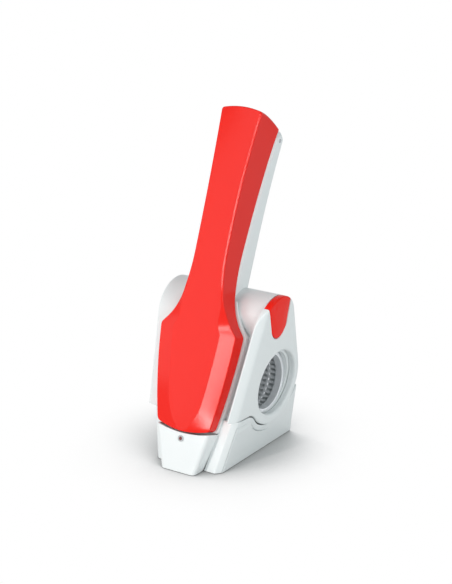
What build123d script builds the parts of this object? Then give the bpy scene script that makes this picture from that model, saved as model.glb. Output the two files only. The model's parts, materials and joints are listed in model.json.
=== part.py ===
from build123d import *
import os
from math import acos, atan2, cos, degrees, hypot, pi, radians, sin, sqrt, tan

os.makedirs("parts", exist_ok=True)

# Stance: sizes in millimetres, angles in degrees, depths measured back from the dock's front foot
origin_depth = 73.9
lean = 18.5
side_taper = 6.4
dock_taper = 12.5

# Axes of the drum, the motor barrel and the lever, as depth and height or as station and level on the lean
drum_y = 90.0
drum_z = 66.0
barrel_y = 84.0
barrel_z = 128.0
pin_s = 308.0

# Outer shells
wall = 2.2
part_gap = 0.5
barrel_r = 24.5
chamber_shell_r = 39.0
half_width = 57.5
half_width_height = 150.0
cover_thickness = 7.0
front_edge_lean = 19.5
bevel_depth = 8.0
cover_round = 1.6
left_round = 5.0
front_edge_foot = 3.8

# Red lever, seen from the front: half widths at stations along the lean
foot_half = 27.9
foot_s = 41.4
foot_bow = 3.6
side_half = 36.3
side_s = 90.0
shoulder_half = 40.1
shoulder_s = 130.0
flare_half = 26.8
flare_s = 147.0
waist_half = 21.3
waist_s = 161.0
neck_half = 17.0
neck_s = 203.0
grip_half = 17.9
grip_s = 270.0
tip_half = 21.4
tip_s = 329.0
tip_bow = 2.5
outline_corner = 4.5
front_foot = 2.5
front_bulge = 8.5
tip_set_back = 1.5
tip_drop = 17.0
tip_rise = 3.0
tip_back = -36.0
tip_wall = 5.8
lever_back_s = 306.0
lever_facet = 1.2
lever_wall = 2.4
pad_level = 4.3
lug_half_in = 11.0
lug_half_out = 15.0
lug_r = 5.5

# Parting line between the red lever and the white handle
part_level = -7.2
part_s = 128.0
part_slope = 0.149
back_level = -38.3
back_slope = 0.076
back_chamfer = 4.0
side_wall = 3.4
handle_inset = 0.5
handle_tip_r = 8.4
pin_recess = 0.6

# Feed frame, chute and presser
frame_back = -14.0
frame_margin = 1.2
frame_floor = 2.0
frame_rim = 3.0
frame_high_s = 160.0
frame_pocket_s = 126.0
frame_screw_x = 31.5
frame_screw_s = 112.0
chute_half = 27.0
chute_low = 60.0
chute_high = 123.0
chute_corner = 3.0
housing_low = 54.0
presser_clear = 2.0
presser_clear_low = 1.2
presser_clear_high = 4.6
presser_screw_sink = 6.0
presser_screw_bite = 2.6
presser_depth = 38.0
presser_corner = 4.0
presser_gap = 4.0

# Grating drum and its bearings
drum_sheet_r = 28.6
sheet_thickness = 0.8
drum_left = -30.0
drum_right = 33.0
hub_disc = 2.5
ring_r = 29.5
ring_inner_r = 25.8
ring_right = 38.5
ring_lap = 2.0
ring_play = 0.4
ring_round = 1.0
chamber_r = 31.0
spindle_r = 4.0
bush_r = 6.5
bush_flange_r = 8.0
bush_flange = 0.8
run_fit = 0.05
side_clear = 0.6
gear_wall = 2.6
grate_hole_r = 2.3
grate_rows = 5
grate_columns = 15

# Gears
module = 1.25
pinion_teeth = 14
idler_teeth = 25
drum_teeth = 40
gear_width = 4.0
addendum = 0.8
dedendum = 1.1
backlash = 0.2
pressure_angle = 20.0
gear_clear = 1.2
shaft_r = 2.0
axle_r = 2.5
axle_shoulder = 1.5
axle_end = 0.6
side_play = 0.3
flank_steps = 4

# Motor
motor_r = 16.0
motor_right = 20.0
mount_length = 9.0
motor_round = 1.5
motor_boss = 4.0
shaft_bite = 14.0
barrel_wall = 2.6

# Batteries, board and switch in the handle
cell_r = 6.9
cell_length = 41.0
cell_gap = 0.6
cells_low_s = 177.0
inner_cover_drop = 3.0
inner_cover_low = 168.0
hollow_low_s = 167.0
inner_cover_high = 292.0
inner_cover_thickness = 1.8
fit_gap = 0.2
switch_s = 206.0
switch_length = 12.0
switch_height = 3.2
switch_width = 9.0
switch_post_r = 2.5
post_gap = 0.4
plunger_sink = 1.4
plunger_r = 2.0
plunger_rise = 2.0
plunger_travel = 1.0
board_s = 279.0
board_post_spread = 16.0
board_post_r = 2.4
board_length = 28.0
board_width = 20.0
board_thickness = 1.6
board_drop = 2.4
chip_width = 6.0
chip_length = 7.0
chip_height = 2.0
strap_length = 14.0
strap_width = 6.0

# Release button on the right cover
button_low_y = 87.0
button_low_z = 125.0
button_low_r = 12.2
button_high_y = 82.0
button_high_z = 140.0
button_high_r = 16.5
button_proud = 0.5
button_round = 1.4
button_skirt = 2.4
button_travel = 1.0
dimple_y = 73.4
dimple_z = 144.2
dimple_r = 1.1
spring_sink = 1.4
button_gap = 0.35
button_floor = 1.6
button_stem_r = 2.5
button_stem = 11.0
spring_r = 5.0
spring_wall = 0.8

# Outlet
outlet_r = 30.2
outlet_flare = 1.6

# Dock
seat_gap = 0.6
wave_r = 14.0
wave_top = 48.0
wing_front_foot = 15.0
wing_front_top = 27.0
dock_back_foot = 136.5
dock_back_top = 128.0
dock_bevel = 5.0
wing_crease = 3.0
tongue_foot_half = 18.2
tongue_top_half = 28.4
tongue_top_s = 40.6
tongue_rise = 4.2
tongue_round = 3.0
tongue_back = -26.0
dock_wall = 2.6
cavity_front = 25.0
cavity_back = 129.5
dock_post_r = 4.0
peg_r = 2.0
dock_board_y = 92.0
dock_floor = 1.2
cavity_height = 22.0
plate_thickness = 2.0
foot_r = 5.0
foot_sink = 1.0
led_s = 31.0
led_r = 1.7
bezel_r = 2.9
bezel_height = 0.5
led_length = 5.0
pin_spread = 12.0
contact_pin_r = 1.6
contact_pin_rise = 0.4
contact_length = 12.0
contact_width = 7.0
contact_thickness = 0.8
contact_gap = 0.3
contact_pin_length = 8.0
inlet_r = 5.0
inlet_bore_r = 2.8
inlet_depth = 9.0
inlet_length = 12.5
inlet_start = 121.0
inlet_height = 11.0
dock_board_width = 40.0
dock_board_length = 34.0
dock_board_height = 6.0

# Fasteners
cover_screw_sink = 3.0
cover_screw_spots = [(58.0, 112.0), (112.0, 92.0), (52.0, 62.0)]
dock_spot_inset = 8.0
dock_foot_step = 13.0
screw_r = 1.3
screw_head_r = 2.6
screw_head = 1.6
screw_length = 8.0
hinge_pin_r = 2.0

# Slope of the lean, worked out once
lean_sin = sin(radians(lean))
lean_cos = cos(radians(lean))
wide = 80.0


def across(x):
    """Side-view plane at distance x from the middle: local x is depth, local y is height."""
    return Plane(origin=(x, -origin_depth, 0), x_dir=(0, 1, 0), z_dir=(1, 0, 0))


def leaning(x):
    """Side-view plane turned with the lean: local x is the station up the lean, local y the level."""
    return Plane(origin=(x, -origin_depth, 0), x_dir=(0, lean_sin, lean_cos), z_dir=(1, 0, 0))


def facing(level):
    """Plane square to the lean's front: local x is the width, local y the station up the lean."""
    origin = (0, -origin_depth - level * lean_cos, level * lean_sin)
    return Plane(origin=origin, x_dir=(1, 0, 0), z_dir=(0, -lean_cos, lean_sin))


def to_side(station, level):
    """Depth and height of a point given by station and level."""
    return (station * lean_sin - level * lean_cos, station * lean_cos + level * lean_sin)


def to_lean(depth, height):
    """Station and level of a point given by depth and height."""
    return (depth * lean_sin + height * lean_cos, height * lean_sin - depth * lean_cos)


def parting(station):
    """Level of the parting line: straight beside the frame, then sloping back up the handle."""
    return part_level - part_slope * max(0.0, station - part_s)


def back_line(station):
    """Level of the handle's back edge."""
    return back_level - back_slope * (station - part_s)


def front_line(station):
    """Level of the bulging front at a station, a parabola close to its arc."""
    share = station / tip_s
    return front_foot * (1 - share) + 4 * front_bulge * share * (1 - share) - tip_set_back * share


def tongue_line(station):
    """Level of the dock tongue's front at a station, a straight slope."""
    return tongue_rise * station / tongue_top_s


def face_half(height):
    """Half width of the side covers at a height."""
    return half_width - (half_width_height - height) * tan(radians(side_taper))


def taper_plane(inset, side):
    """Tapered plane of a side cover, moved inwards by the inset, facing outwards on its side."""
    normal = (side * cos(radians(side_taper)), 0, -sin(radians(side_taper)))
    return Plane(origin=(side * (half_width - inset), 0, half_width_height), x_dir=(0, 1, 0), z_dir=normal)


def cover_screw_seat(height):
    """Width place of a left cover screw's seat at a height."""
    return cover_screw_sink - face_half(height)


def rod(depth, height, radius, x_from, x_to, mode=Mode.ADD):
    """Round bar along the width."""
    with Locations(((x_from + x_to) / 2, depth - origin_depth, height)):
        Cylinder(radius, abs(x_to - x_from), rotation=(0, 90, 0), mode=mode)


def stud(x, station, radius, level_from, level_to, mode=Mode.ADD):
    """Round bar along the front's normal."""
    with BuildSketch(facing(level_from)) as disc:
        with Locations((x, station)):
            Circle(radius)
    extrude(disc.sketch, amount=level_to - level_from, mode=mode)


# Places worked out from the sizes above
back_tilt = atan2(back_slope, 1)
part_tilt = atan2(part_slope, 1)
pin_n = back_line(pin_s) + handle_tip_r / cos(back_tilt)
pin_y, pin_z = to_side(pin_s, pin_n)
drum_s, drum_n = to_lean(drum_y, drum_z)
barrel_s, barrel_n = to_lean(barrel_y, barrel_z)
front_axis = Axis((0, 0, 0), (0, -lean_cos, lean_sin))
wave_shell_r = chamber_shell_r + seat_gap
lug_top = front_line(pin_s) - lever_wall / 2
switch_top = parting(switch_s) - inner_cover_drop
frame_front = part_level - part_gap
presser_half = chute_half - presser_clear
presser_low = chute_low + presser_clear_low
presser_high = chute_high - presser_clear_high
presser_screw_seat = drum_n + drum_sheet_r + presser_gap + presser_screw_sink
presser_middle = (presser_low + presser_high) / 2
presser_back = pad_level - presser_depth
presser_screw_spots = [(x, presser_middle) for x in (-presser_half / 2, presser_half / 2)]
body_screw_spots = [(x, frame_screw_s) for x in (-frame_screw_x, frame_screw_x)]
body_screw_seat = frame_back + frame_floor
wall_inner_x = drum_left - hub_disc - side_clear
wall_outer_x = wall_inner_x - gear_wall
gear_right = wall_outer_x - bush_flange - side_play
gear_left = gear_right - gear_width
ring_left = drum_right - ring_lap
contact_level = drum_z - wave_shell_r + contact_pin_rise + contact_gap
pin_share = (pin_s - grip_s) / (tip_s - grip_s)
hinge_pin_half = grip_half + (tip_half - grip_half) * pin_share - handle_inset - pin_recess
button_y = (button_low_y + button_high_y) / 2
button_z = (button_low_z + button_high_z) / 2
button_seat_x = face_half(button_z) - cover_thickness + button_floor
button_back = cover_thickness - button_floor - button_travel - fit_gap
button_spring_top = face_half(button_z) - button_back + spring_sink
seat_half = face_half(wave_top) - cover_thickness + seat_gap
led_front = tongue_line(led_s)
inlet_plane = Plane(origin=(0, inlet_start - origin_depth, inlet_height), x_dir=(1, 0, 0), z_dir=(0, 1, 0))
cavity_half = face_half(wave_top) - (wave_top - dock_floor) * tan(radians(dock_taper)) - dock_wall
dock_spot_x = cavity_half - dock_spot_inset
dock_front_row = cavity_front + dock_spot_inset - origin_depth
dock_back_row = cavity_back - dock_spot_inset - origin_depth
dock_screw_spots = [(x, y) for x in (-dock_spot_x, dock_spot_x) for y in (dock_front_row, dock_back_row)]
foot_rows = (dock_front_row + dock_foot_step, dock_back_row - dock_foot_step)
dock_foot_spots = [(x, y) for x in (-dock_spot_x, dock_spot_x) for y in foot_rows]


def cover_outline(inset):
    """Front outline of the red lever, moved inwards: bowed foot, shoulders, slim handle, bowed tip."""
    low = foot_s + inset
    high = tip_s - inset
    sink = inset / 2
    with BuildSketch() as sketch:
        with BuildLine():
            foot = ThreePointArc((inset - foot_half, low), (0, low - foot_bow), (foot_half - inset, low))
            shoulder = (shoulder_half - inset, shoulder_s - sink)
            side = ThreePointArc(foot @ 1, (side_half - inset, side_s), shoulder)
            bend = (flare_half - inset, flare_s - sink)
            flare = ThreePointArc(side @ 1, bend, (waist_half - inset, waist_s - sink))
            waist = TangentArc(flare @ 1, (neck_half - inset, neck_s), tangent=flare % 1)
            handle = ThreePointArc(waist @ 1, (grip_half - inset, grip_s), (tip_half - inset, high))
            ThreePointArc(handle @ 1, (0, high + tip_bow), (inset - tip_half, high))
            mirror(side, about=Plane.YZ)
            mirror(flare, about=Plane.YZ)
            mirror(waist, about=Plane.YZ)
            mirror(handle, about=Plane.YZ)
        make_face()
        corners = [v for v in sketch.vertices() if not flare_s < v.Y < grip_s]
        fillet(corners, radius=outline_corner - inset)
    return sketch.sketch


def lever_side(front_inset, back_shift, end_inset):
    """Side profile of the lever between its bulging front and the parting line."""
    top = tip_s + tip_bow + tip_rise - end_inset
    with BuildSketch() as sketch:
        with BuildLine():
            low = (0, front_line(0) - front_inset)
            middle = (tip_s / 2, front_line(tip_s / 2) - front_inset)
            front = ThreePointArc(low, middle, (top, front_line(top) - front_inset))
            Polyline(
                front @ 1,
                (top - tip_drop, tip_back - back_shift),
                (lever_back_s, parting(lever_back_s) - back_shift),
                (part_s, part_level - back_shift),
                (0, part_level - back_shift),
                front @ 0,
            )
        make_face()
    return sketch.sketch


full_outline = cover_outline(0)
wall_outline = cover_outline(lever_wall)

# Hollow of the red lever, with a flat pad level for the presser
with BuildPart() as lever_hollow:
    with BuildSketch(leaning(-wide)):
        add(lever_side(lever_wall, wall * 4, tip_wall))
        with Locations(((shoulder_s + foot_s) / 2, pad_level + wide / 2)):
            Rectangle(shoulder_s - foot_s + wide / 2, wide, mode=Mode.SUBTRACT)
        tip_room = pin_s + handle_tip_r + 2 * part_gap
        with Locations((tip_room + wide / 2, parting(lever_back_s) + lever_wall - wide / 2)):
            Rectangle(wide, wide, mode=Mode.SUBTRACT)
    extrude(amount=2 * wide)
    with BuildSketch(facing(-wide)):
        add(wall_outline)
    extrude(amount=2 * wide, mode=Mode.INTERSECT)

# Red lever
with BuildPart() as lever_cover:
    with BuildSketch(leaning(-wide)):
        add(lever_side(0, 0, 0))
    extrude(amount=2 * wide)
    with BuildSketch(facing(-wide)):
        add(full_outline)
    extrude(amount=2 * wide, mode=Mode.INTERSECT)
    front_face = lever_cover.faces().sort_by(front_axis)[-1]
    chamfer(front_face.edges(), length=lever_facet)
    add(lever_hollow.part, mode=Mode.SUBTRACT)
    for side in (-1, 1):
        with BuildSketch(leaning(side * lug_half_in)):
            with Locations((pin_s, pin_n)):
                Circle(lug_r)
            with BuildLine():
                Polyline(
                    (pin_s - lug_r, pin_n),
                    (pin_s + lug_r, pin_n),
                    (pin_s + lug_r, lug_top),
                    (pin_s - 3 * lug_r, lug_top),
                    close=True,
                )
            make_face()
        extrude(amount=side * (lug_half_out - lug_half_in))
    rod(pin_y, pin_z, hinge_pin_r + run_fit, -wide, wide, Mode.SUBTRACT)
    post_foot = switch_top + plunger_rise + post_gap
    stud(0, switch_s, switch_post_r, post_foot, front_line(switch_s) - lever_wall / 2)
    for x, station in presser_screw_spots:
        stud(x, station, screw_r, pad_level, pad_level + presser_screw_bite, Mode.SUBTRACT)
lever_cover.part.label = "lever_cover"
export_step(lever_cover.part, "parts/lever_cover.step")

# Presser block under the lever, hollowed to follow the drum
with BuildPart() as presser_block:
    with BuildSketch(facing(pad_level)):
        with Locations((0, presser_middle)):
            RectangleRounded(2 * presser_half, presser_high - presser_low, presser_corner)
    extrude(amount=-presser_depth)
    rod(drum_y, drum_z, drum_sheet_r + presser_gap, -wide, wide, Mode.SUBTRACT)
    for x, station in presser_screw_spots:
        stud(x, station, screw_r, pad_level, presser_back, Mode.SUBTRACT)
        stud(x, station, screw_head_r + fit_gap, presser_screw_seat, presser_back, Mode.SUBTRACT)
presser_block.part.label = "presser_block"
export_step(presser_block.part, "parts/presser_block.step")

# Screws that hold the presser to the lever, put in from the drum's side
with BuildPart() as presser_screws:
    for x, station in presser_screw_spots:
        stud(x, station, screw_r, presser_screw_seat, pad_level + presser_screw_bite)
        stud(x, station, screw_head_r, presser_screw_seat - screw_head, presser_screw_seat)
presser_screws.part.label = "presser_screws"
export_step(presser_screws.part, "parts/presser_screws.step")


def handle_outline(inset):
    """Front outline of the white handle: straight below the neck, widening to the bowed tip."""
    neck_x = neck_half - handle_inset
    tip_x = tip_half - handle_inset
    with BuildSketch() as sketch:
        with BuildLine():
            low = Line((-neck_x, barrel_s), (neck_x, barrel_s))
            neck = Line(low @ 1, (neck_x, neck_s))
            side = ThreePointArc(neck @ 1, (grip_half - handle_inset, grip_s), (tip_x, tip_s))
            ThreePointArc(side @ 1, (0, tip_s + tip_bow), (-tip_x, tip_s))
            mirror(neck, about=Plane.YZ)
            mirror(side, about=Plane.YZ)
        make_face()
        if inset > 0:
            offset(amount=-inset, mode=Mode.REPLACE)
    return sketch.sketch


def handle_side(low_s, front_shift, inset):
    """Side profile of the white handle between the parting line and its back, round at the hinge."""
    radius = handle_tip_r - inset
    front_turn = pi / 2 - part_tilt
    back_turn = -pi / 2 - back_tilt
    with BuildSketch() as sketch:
        with BuildLine():
            nose = (pin_s + radius * cos(front_turn), pin_n + radius * sin(front_turn))
            front = Line((low_s, parting(low_s) - front_shift), nose)
            middle = (front_turn + back_turn) / 2
            tip = ThreePointArc(
                nose,
                (pin_s + radius * cos(middle), pin_n + radius * sin(middle)),
                (pin_s + radius * cos(back_turn), pin_n + radius * sin(back_turn)),
            )
            Polyline(tip @ 1, (low_s, back_line(low_s) + inset / cos(back_tilt)), front @ 0)
        make_face()
    return sketch.sketch


# Room for the batteries inside the white handle
with BuildPart() as handle_hollow:
    with BuildSketch(leaning(-wide)):
        add(handle_side(hollow_low_s, part_gap, wall))
    extrude(amount=2 * wide)
    with BuildSketch(facing(-2 * wide)):
        add(handle_outline(side_wall))
    extrude(amount=4 * wide, mode=Mode.INTERSECT)

# Opening of that room towards the lever
with BuildPart() as handle_mouth:
    with BuildSketch(leaning(-wide)):
        with BuildLine():
            Polyline(
                (hollow_low_s, part_level),
                (hollow_low_s, parting(pin_s)),
                (pin_s, pin_n),
                (tip_s, pin_n),
                (tip_s, part_level),
                close=True,
            )
        make_face()
    extrude(amount=2 * wide)
    with BuildSketch(facing(-wide)):
        add(handle_outline(side_wall))
    extrude(amount=2 * wide, mode=Mode.INTERSECT)

# Feed frame behind the lever, cut off along the parting line
with BuildPart() as feed_frame:
    with BuildSketch(facing(frame_back)):
        add(full_outline)
        offset(amount=frame_margin, mode=Mode.REPLACE)
        with Locations((0, (foot_s + frame_high_s) / 2)):
            Rectangle(2 * wide, frame_high_s - foot_s, mode=Mode.INTERSECT)
    extrude(amount=wide)
    with BuildSketch(leaning(-wide)):
        with BuildLine():
            Polyline(
                (0, frame_front),
                (part_s, frame_front),
                (pin_s, parting(pin_s) - part_gap),
                (pin_s, wide),
                (0, wide),
                close=True,
            )
        make_face()
    extrude(amount=2 * wide, mode=Mode.SUBTRACT)

# White handle with the feed frame, saddled on the barrel
with BuildPart() as handle_shell:
    with BuildSketch(leaning(-wide)):
        add(handle_side(barrel_s, part_gap, 0))
    extrude(amount=2 * wide)
    with BuildSketch(facing(-wide)):
        add(handle_outline(0))
    extrude(amount=2 * wide, mode=Mode.INTERSECT)
    back_face = handle_shell.faces().filter_by(GeomType.PLANE).sort_by(front_axis)[0]
    chamfer(back_face.edges().filter_by(Axis.X, reverse=True), length=back_chamfer)
    add(handle_hollow.part, mode=Mode.SUBTRACT)
    add(handle_mouth.part, mode=Mode.SUBTRACT)
    rod(barrel_y, barrel_z, barrel_r + fit_gap, -wide, wide, Mode.SUBTRACT)
    add(feed_frame.part)
    with BuildSketch(facing(frame_back + frame_floor)):
        add(cover_outline(frame_rim))
        Rectangle(2 * wide, 2 * frame_pocket_s, mode=Mode.INTERSECT)
    extrude(amount=wide, mode=Mode.SUBTRACT)
    with BuildSketch(facing(frame_back)):
        with Locations((0, (chute_low + chute_high) / 2)):
            RectangleRounded(2 * chute_half, chute_high - chute_low, chute_corner)
    extrude(amount=wide, mode=Mode.SUBTRACT)
    rod(pin_y, pin_z, hinge_pin_r, -wide, wide, Mode.SUBTRACT)
    for x, station in body_screw_spots:
        stud(x, station, screw_r, frame_back, frame_front, Mode.SUBTRACT)
        stud(x, station, screw_head_r + fit_gap, body_screw_seat, frame_front, Mode.SUBTRACT)
handle_shell.part.label = "handle_shell"
export_step(handle_shell.part, "parts/handle_shell.step")

# Hinge pin of the lever
with BuildPart() as hinge_pin:
    rod(pin_y, pin_z, hinge_pin_r, -hinge_pin_half, hinge_pin_half)
hinge_pin.part.label = "hinge_pin"
export_step(hinge_pin.part, "parts/hinge_pin.step")

# Screws from the feed frame into the housing
with BuildPart() as body_screws:
    for x, station in body_screw_spots:
        stud(x, station, screw_r, body_screw_seat, body_screw_seat - screw_length)
        stud(x, station, screw_head_r, body_screw_seat, body_screw_seat + screw_head)
body_screws.part.label = "body_screws"
export_step(body_screws.part, "parts/body_screws.step")


def along_handle(station, level, tilt):
    """Plane square to a line that leans back by the lean and a further tilt."""
    depth, height = to_side(station, level)
    angle = radians(lean) + tilt
    upwards = (0, sin(angle), cos(angle))
    return Plane(origin=(0, depth - origin_depth, height), x_dir=(1, 0, 0), z_dir=upwards)


def on_inner_cover(station):
    """Plane on the front of the inner cover at a station, facing forwards."""
    depth, height = to_side(station, parting(station) - inner_cover_drop)
    angle = radians(lean) + part_tilt
    forwards = (0, -cos(angle), sin(angle))
    return Plane(origin=(0, depth - origin_depth, height), x_dir=(1, 0, 0), z_dir=forwards)


switch_plane = on_inner_cover(switch_s)
board_plane = on_inner_cover(board_s).offset(-inner_cover_thickness - board_drop)

# Inner cover that closes the battery room, with posts for the board
with BuildPart() as handle_inner_cover:
    with BuildSketch(leaning(-wide)):
        with BuildLine():
            low_front = parting(inner_cover_low) - inner_cover_drop
            high_front = parting(inner_cover_high) - inner_cover_drop
            Polyline(
                (inner_cover_low, low_front),
                (inner_cover_high, high_front),
                (inner_cover_high, high_front - inner_cover_thickness),
                (inner_cover_low, low_front - inner_cover_thickness),
                close=True,
            )
        make_face()
    extrude(amount=2 * wide)
    with BuildSketch(facing(-wide)):
        add(handle_outline(side_wall + fit_gap))
    extrude(amount=2 * wide, mode=Mode.INTERSECT)
    with BuildSketch(switch_plane.offset(wall)):
        Circle(plunger_r + run_fit)
    extrude(amount=-3 * wall, mode=Mode.SUBTRACT)
    with BuildSketch(board_plane):
        with GridLocations(0, board_post_spread, 1, 2):
            Circle(board_post_r)
    extrude(amount=board_drop + inner_cover_thickness / 2)
handle_inner_cover.part.label = "handle_inner_cover"
export_step(handle_inner_cover.part, "parts/handle_inner_cover.step")

# Control board on the posts, with its parts facing the cells
with BuildPart() as control_board:
    with BuildSketch(board_plane):
        Rectangle(board_width, board_length)
    extrude(amount=-board_thickness)
    with BuildSketch(board_plane.offset(-board_thickness)):
        with GridLocations(board_width / 2, board_length / 3, 2, 2):
            Rectangle(chip_width, chip_length)
    extrude(amount=-chip_height)
control_board.part.label = "control_board"
export_step(control_board.part, "parts/control_board.step")

# Switch under the inner cover and its plunger
with BuildPart() as switch_body:
    with BuildSketch(switch_plane.offset(-inner_cover_thickness - fit_gap)):
        Rectangle(switch_width, switch_length)
    extrude(amount=-switch_height)
    with BuildSketch(switch_plane.offset(-inner_cover_thickness)):
        Circle(plunger_r + run_fit)
    extrude(amount=-plunger_sink - plunger_travel - 2 * fit_gap, mode=Mode.SUBTRACT)
switch_body.part.label = "switch_body"
export_step(switch_body.part, "parts/switch_body.step")

with BuildPart() as switch_plunger:
    with BuildSketch(switch_plane.offset(plunger_rise)):
        Circle(plunger_r)
    extrude(amount=-plunger_rise - inner_cover_thickness - plunger_sink)
    fillet(switch_plunger.faces().sort_by(front_axis)[-1].edges(), radius=plunger_r / 3)
switch_plunger.part.label = "switch_plunger"
export_step(switch_plunger.part, "parts/switch_plunger.step")

# Two cells in line along the handle's back, and the tabs that join them
cell_level = back_line(cells_low_s) + wall + fit_gap + cell_r
cell_plane = along_handle(cells_low_s, cell_level, back_tilt)
with BuildPart() as battery_cells:
    for row in range(2):
        with BuildSketch(cell_plane.offset(row * (cell_length + cell_gap))):
            Circle(cell_r)
        extrude(amount=cell_length)
battery_cells.part.label = "battery_cells"
export_step(battery_cells.part, "parts/battery_cells.step")

with BuildPart() as battery_straps:
    for row in range(3):
        with BuildSketch(cell_plane.offset(row * (cell_length + cell_gap) - cell_gap)):
            SlotOverall(strap_length, strap_width)
        extrude(amount=cell_gap)
battery_straps.part.label = "battery_straps"
export_step(battery_straps.part, "parts/battery_straps.step")


def belt(first, first_r, second, second_r):
    """Two discs joined by their outer tangents."""
    reach = hypot(second[0] - first[0], second[1] - first[1])
    heading = atan2(second[1] - first[1], second[0] - first[0])
    spread = acos((first_r - second_r) / reach)
    with BuildSketch() as sketch:
        with Locations(first):
            Circle(first_r)
        with Locations(second):
            Circle(second_r)
        with BuildLine():
            corners = []
            for centre, radius, turn in (
                (first, first_r, spread),
                (second, second_r, spread),
                (second, second_r, -spread),
                (first, first_r, -spread),
            ):
                angle = heading + turn
                corners.append((centre[0] + radius * cos(angle), centre[1] + radius * sin(angle)))
            Polyline(*corners, close=True)
        make_face()
    return sketch.sketch


def housing_side(grow):
    """Side profile of the housing on the lean: barrel and drum chamber joined, with the chute's block."""
    front = frame_back - fit_gap
    reach = hypot(housing_low - drum_s, front - drum_n)
    turn = atan2(front - drum_n, housing_low - drum_s) + acos(chamber_shell_r / reach)
    touch = (drum_s + chamber_shell_r * cos(turn), drum_n + chamber_shell_r * sin(turn))
    with BuildSketch() as sketch:
        add(belt((barrel_s, barrel_n), barrel_r, (drum_s, drum_n), chamber_shell_r))
        with BuildLine():
            Polyline(
                (housing_low, front),
                (shoulder_s, front),
                (barrel_s, barrel_n),
                (drum_s, drum_n),
                touch,
                close=True,
            )
        make_face()
        if grow > 0:
            offset(amount=grow, mode=Mode.REPLACE)
    return sketch.sketch


# Gear places: the idler sits off the line between motor and drum so that both centre distances are right
pinion_pitch_r = module * pinion_teeth / 2
idler_pitch_r = module * idler_teeth / 2
drum_pitch_r = module * drum_teeth / 2
train_reach = hypot(drum_y - barrel_y, drum_z - barrel_z)
train_heading = atan2(drum_z - barrel_z, drum_y - barrel_y)
first_reach = pinion_pitch_r + idler_pitch_r
second_reach = idler_pitch_r + drum_pitch_r
idler_bend = acos((first_reach**2 + train_reach**2 - second_reach**2) / (2 * first_reach * train_reach))
idler_y = barrel_y + first_reach * cos(train_heading + idler_bend)
idler_z = barrel_z + first_reach * sin(train_heading + idler_bend)
gear_spots = (
    (barrel_y, barrel_z, pinion_pitch_r),
    (idler_y, idler_z, idler_pitch_r),
    (drum_y, drum_z, drum_pitch_r),
)


def gear_room():
    """Side profile of the gear room: the three gears with clearance, joined by belts."""
    margin = addendum * module + gear_clear
    spots = [((depth, height), radius + margin) for depth, height, radius in gear_spots]
    with BuildSketch() as sketch:
        for (first, first_r), (second, second_r) in zip(spots, spots[1:]):
            add(belt(first, first_r, second, second_r))
    return sketch.sketch


# Housing of barrel, drum chamber and feed chute
with BuildPart() as drum_housing:
    with BuildSketch(leaning(-wide)):
        add(housing_side(0))
    extrude(amount=2 * wide)
    for side in (-1, 1):
        split(bisect_by=taper_plane(cover_thickness + fit_gap, side), keep=Keep.BOTTOM)
    rod(drum_y, drum_z, chamber_r, wall_inner_x, ring_left, Mode.SUBTRACT)
    rod(drum_y, drum_z, ring_r + run_fit, ring_left, wide, Mode.SUBTRACT)
    with BuildSketch(facing(frame_back)):
        with Locations((0, (chute_low + chute_high) / 2)):
            RectangleRounded(2 * chute_half, chute_high - chute_low, chute_corner)
    extrude(amount=drum_n - frame_back, mode=Mode.SUBTRACT)
    rod(barrel_y, barrel_z, barrel_r - barrel_wall, wall_inner_x, wide, Mode.SUBTRACT)
    with BuildSketch(across(wall_outer_x)):
        add(gear_room())
    extrude(amount=-wide, mode=Mode.SUBTRACT)
    rod(drum_y, drum_z, bush_r, wall_inner_x, wall_outer_x, Mode.SUBTRACT)
    rod(barrel_y, barrel_z, shaft_r + gear_clear, wall_inner_x, wall_outer_x, Mode.SUBTRACT)
    rod(idler_y, idler_z, axle_r, wall_inner_x, wall_outer_x, Mode.SUBTRACT)
    for x in (-pin_spread, pin_spread):
        with Locations((x, drum_y - origin_depth, contact_level)):
            Box(
                contact_width + 2 * fit_gap,
                contact_length + 2 * fit_gap,
                2 * contact_thickness,
                mode=Mode.SUBTRACT,
            )
    for x, station in body_screw_spots:
        stud(x, station, screw_r, frame_back, body_screw_seat - screw_length - fit_gap, Mode.SUBTRACT)
    for depth, height in cover_screw_spots:
        rod(depth, height, screw_r, cover_screw_seat(height) + screw_length + fit_gap, -wide, Mode.SUBTRACT)
drum_housing.part.label = "drum_housing"
export_step(drum_housing.part, "parts/drum_housing.step")

# Charging plates under the housing
with BuildPart() as charge_contacts:
    for x in (-pin_spread, pin_spread):
        with Locations((x, drum_y - origin_depth, contact_level + contact_thickness / 2)):
            Box(contact_width, contact_length, contact_thickness)
charge_contacts.part.label = "charge_contacts"
export_step(charge_contacts.part, "parts/charge_contacts.step")

# Motor with its seat ring and turning shaft
with BuildPart() as motor:
    rod(barrel_y, barrel_z, motor_r, wall_inner_x, motor_right)
    fillet(motor.edges().filter_by(GeomType.CIRCLE), radius=motor_round)
    rod(barrel_y, barrel_z, motor_r / 2, motor_right, motor_right + motor_boss)
    rod(barrel_y, barrel_z, shaft_r + run_fit, wall_inner_x, wall_inner_x + shaft_bite, Mode.SUBTRACT)
motor.part.label = "motor"
export_step(motor.part, "parts/motor.step")

with BuildPart() as motor_mount:
    mount_right = motor_right - mount_length
    rod(barrel_y, barrel_z, barrel_r - barrel_wall, mount_right - mount_length, mount_right)
    rod(barrel_y, barrel_z, motor_r, -wide, wide, Mode.SUBTRACT)
motor_mount.part.label = "motor_mount"
export_step(motor_mount.part, "parts/motor_mount.step")

with BuildPart() as motor_shaft:
    rod(barrel_y, barrel_z, shaft_r, gear_left - axle_end, wall_inner_x + shaft_bite - fit_gap)
motor_shaft.part.label = "motor_shaft"
export_step(motor_shaft.part, "parts/motor_shaft.step")

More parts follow.
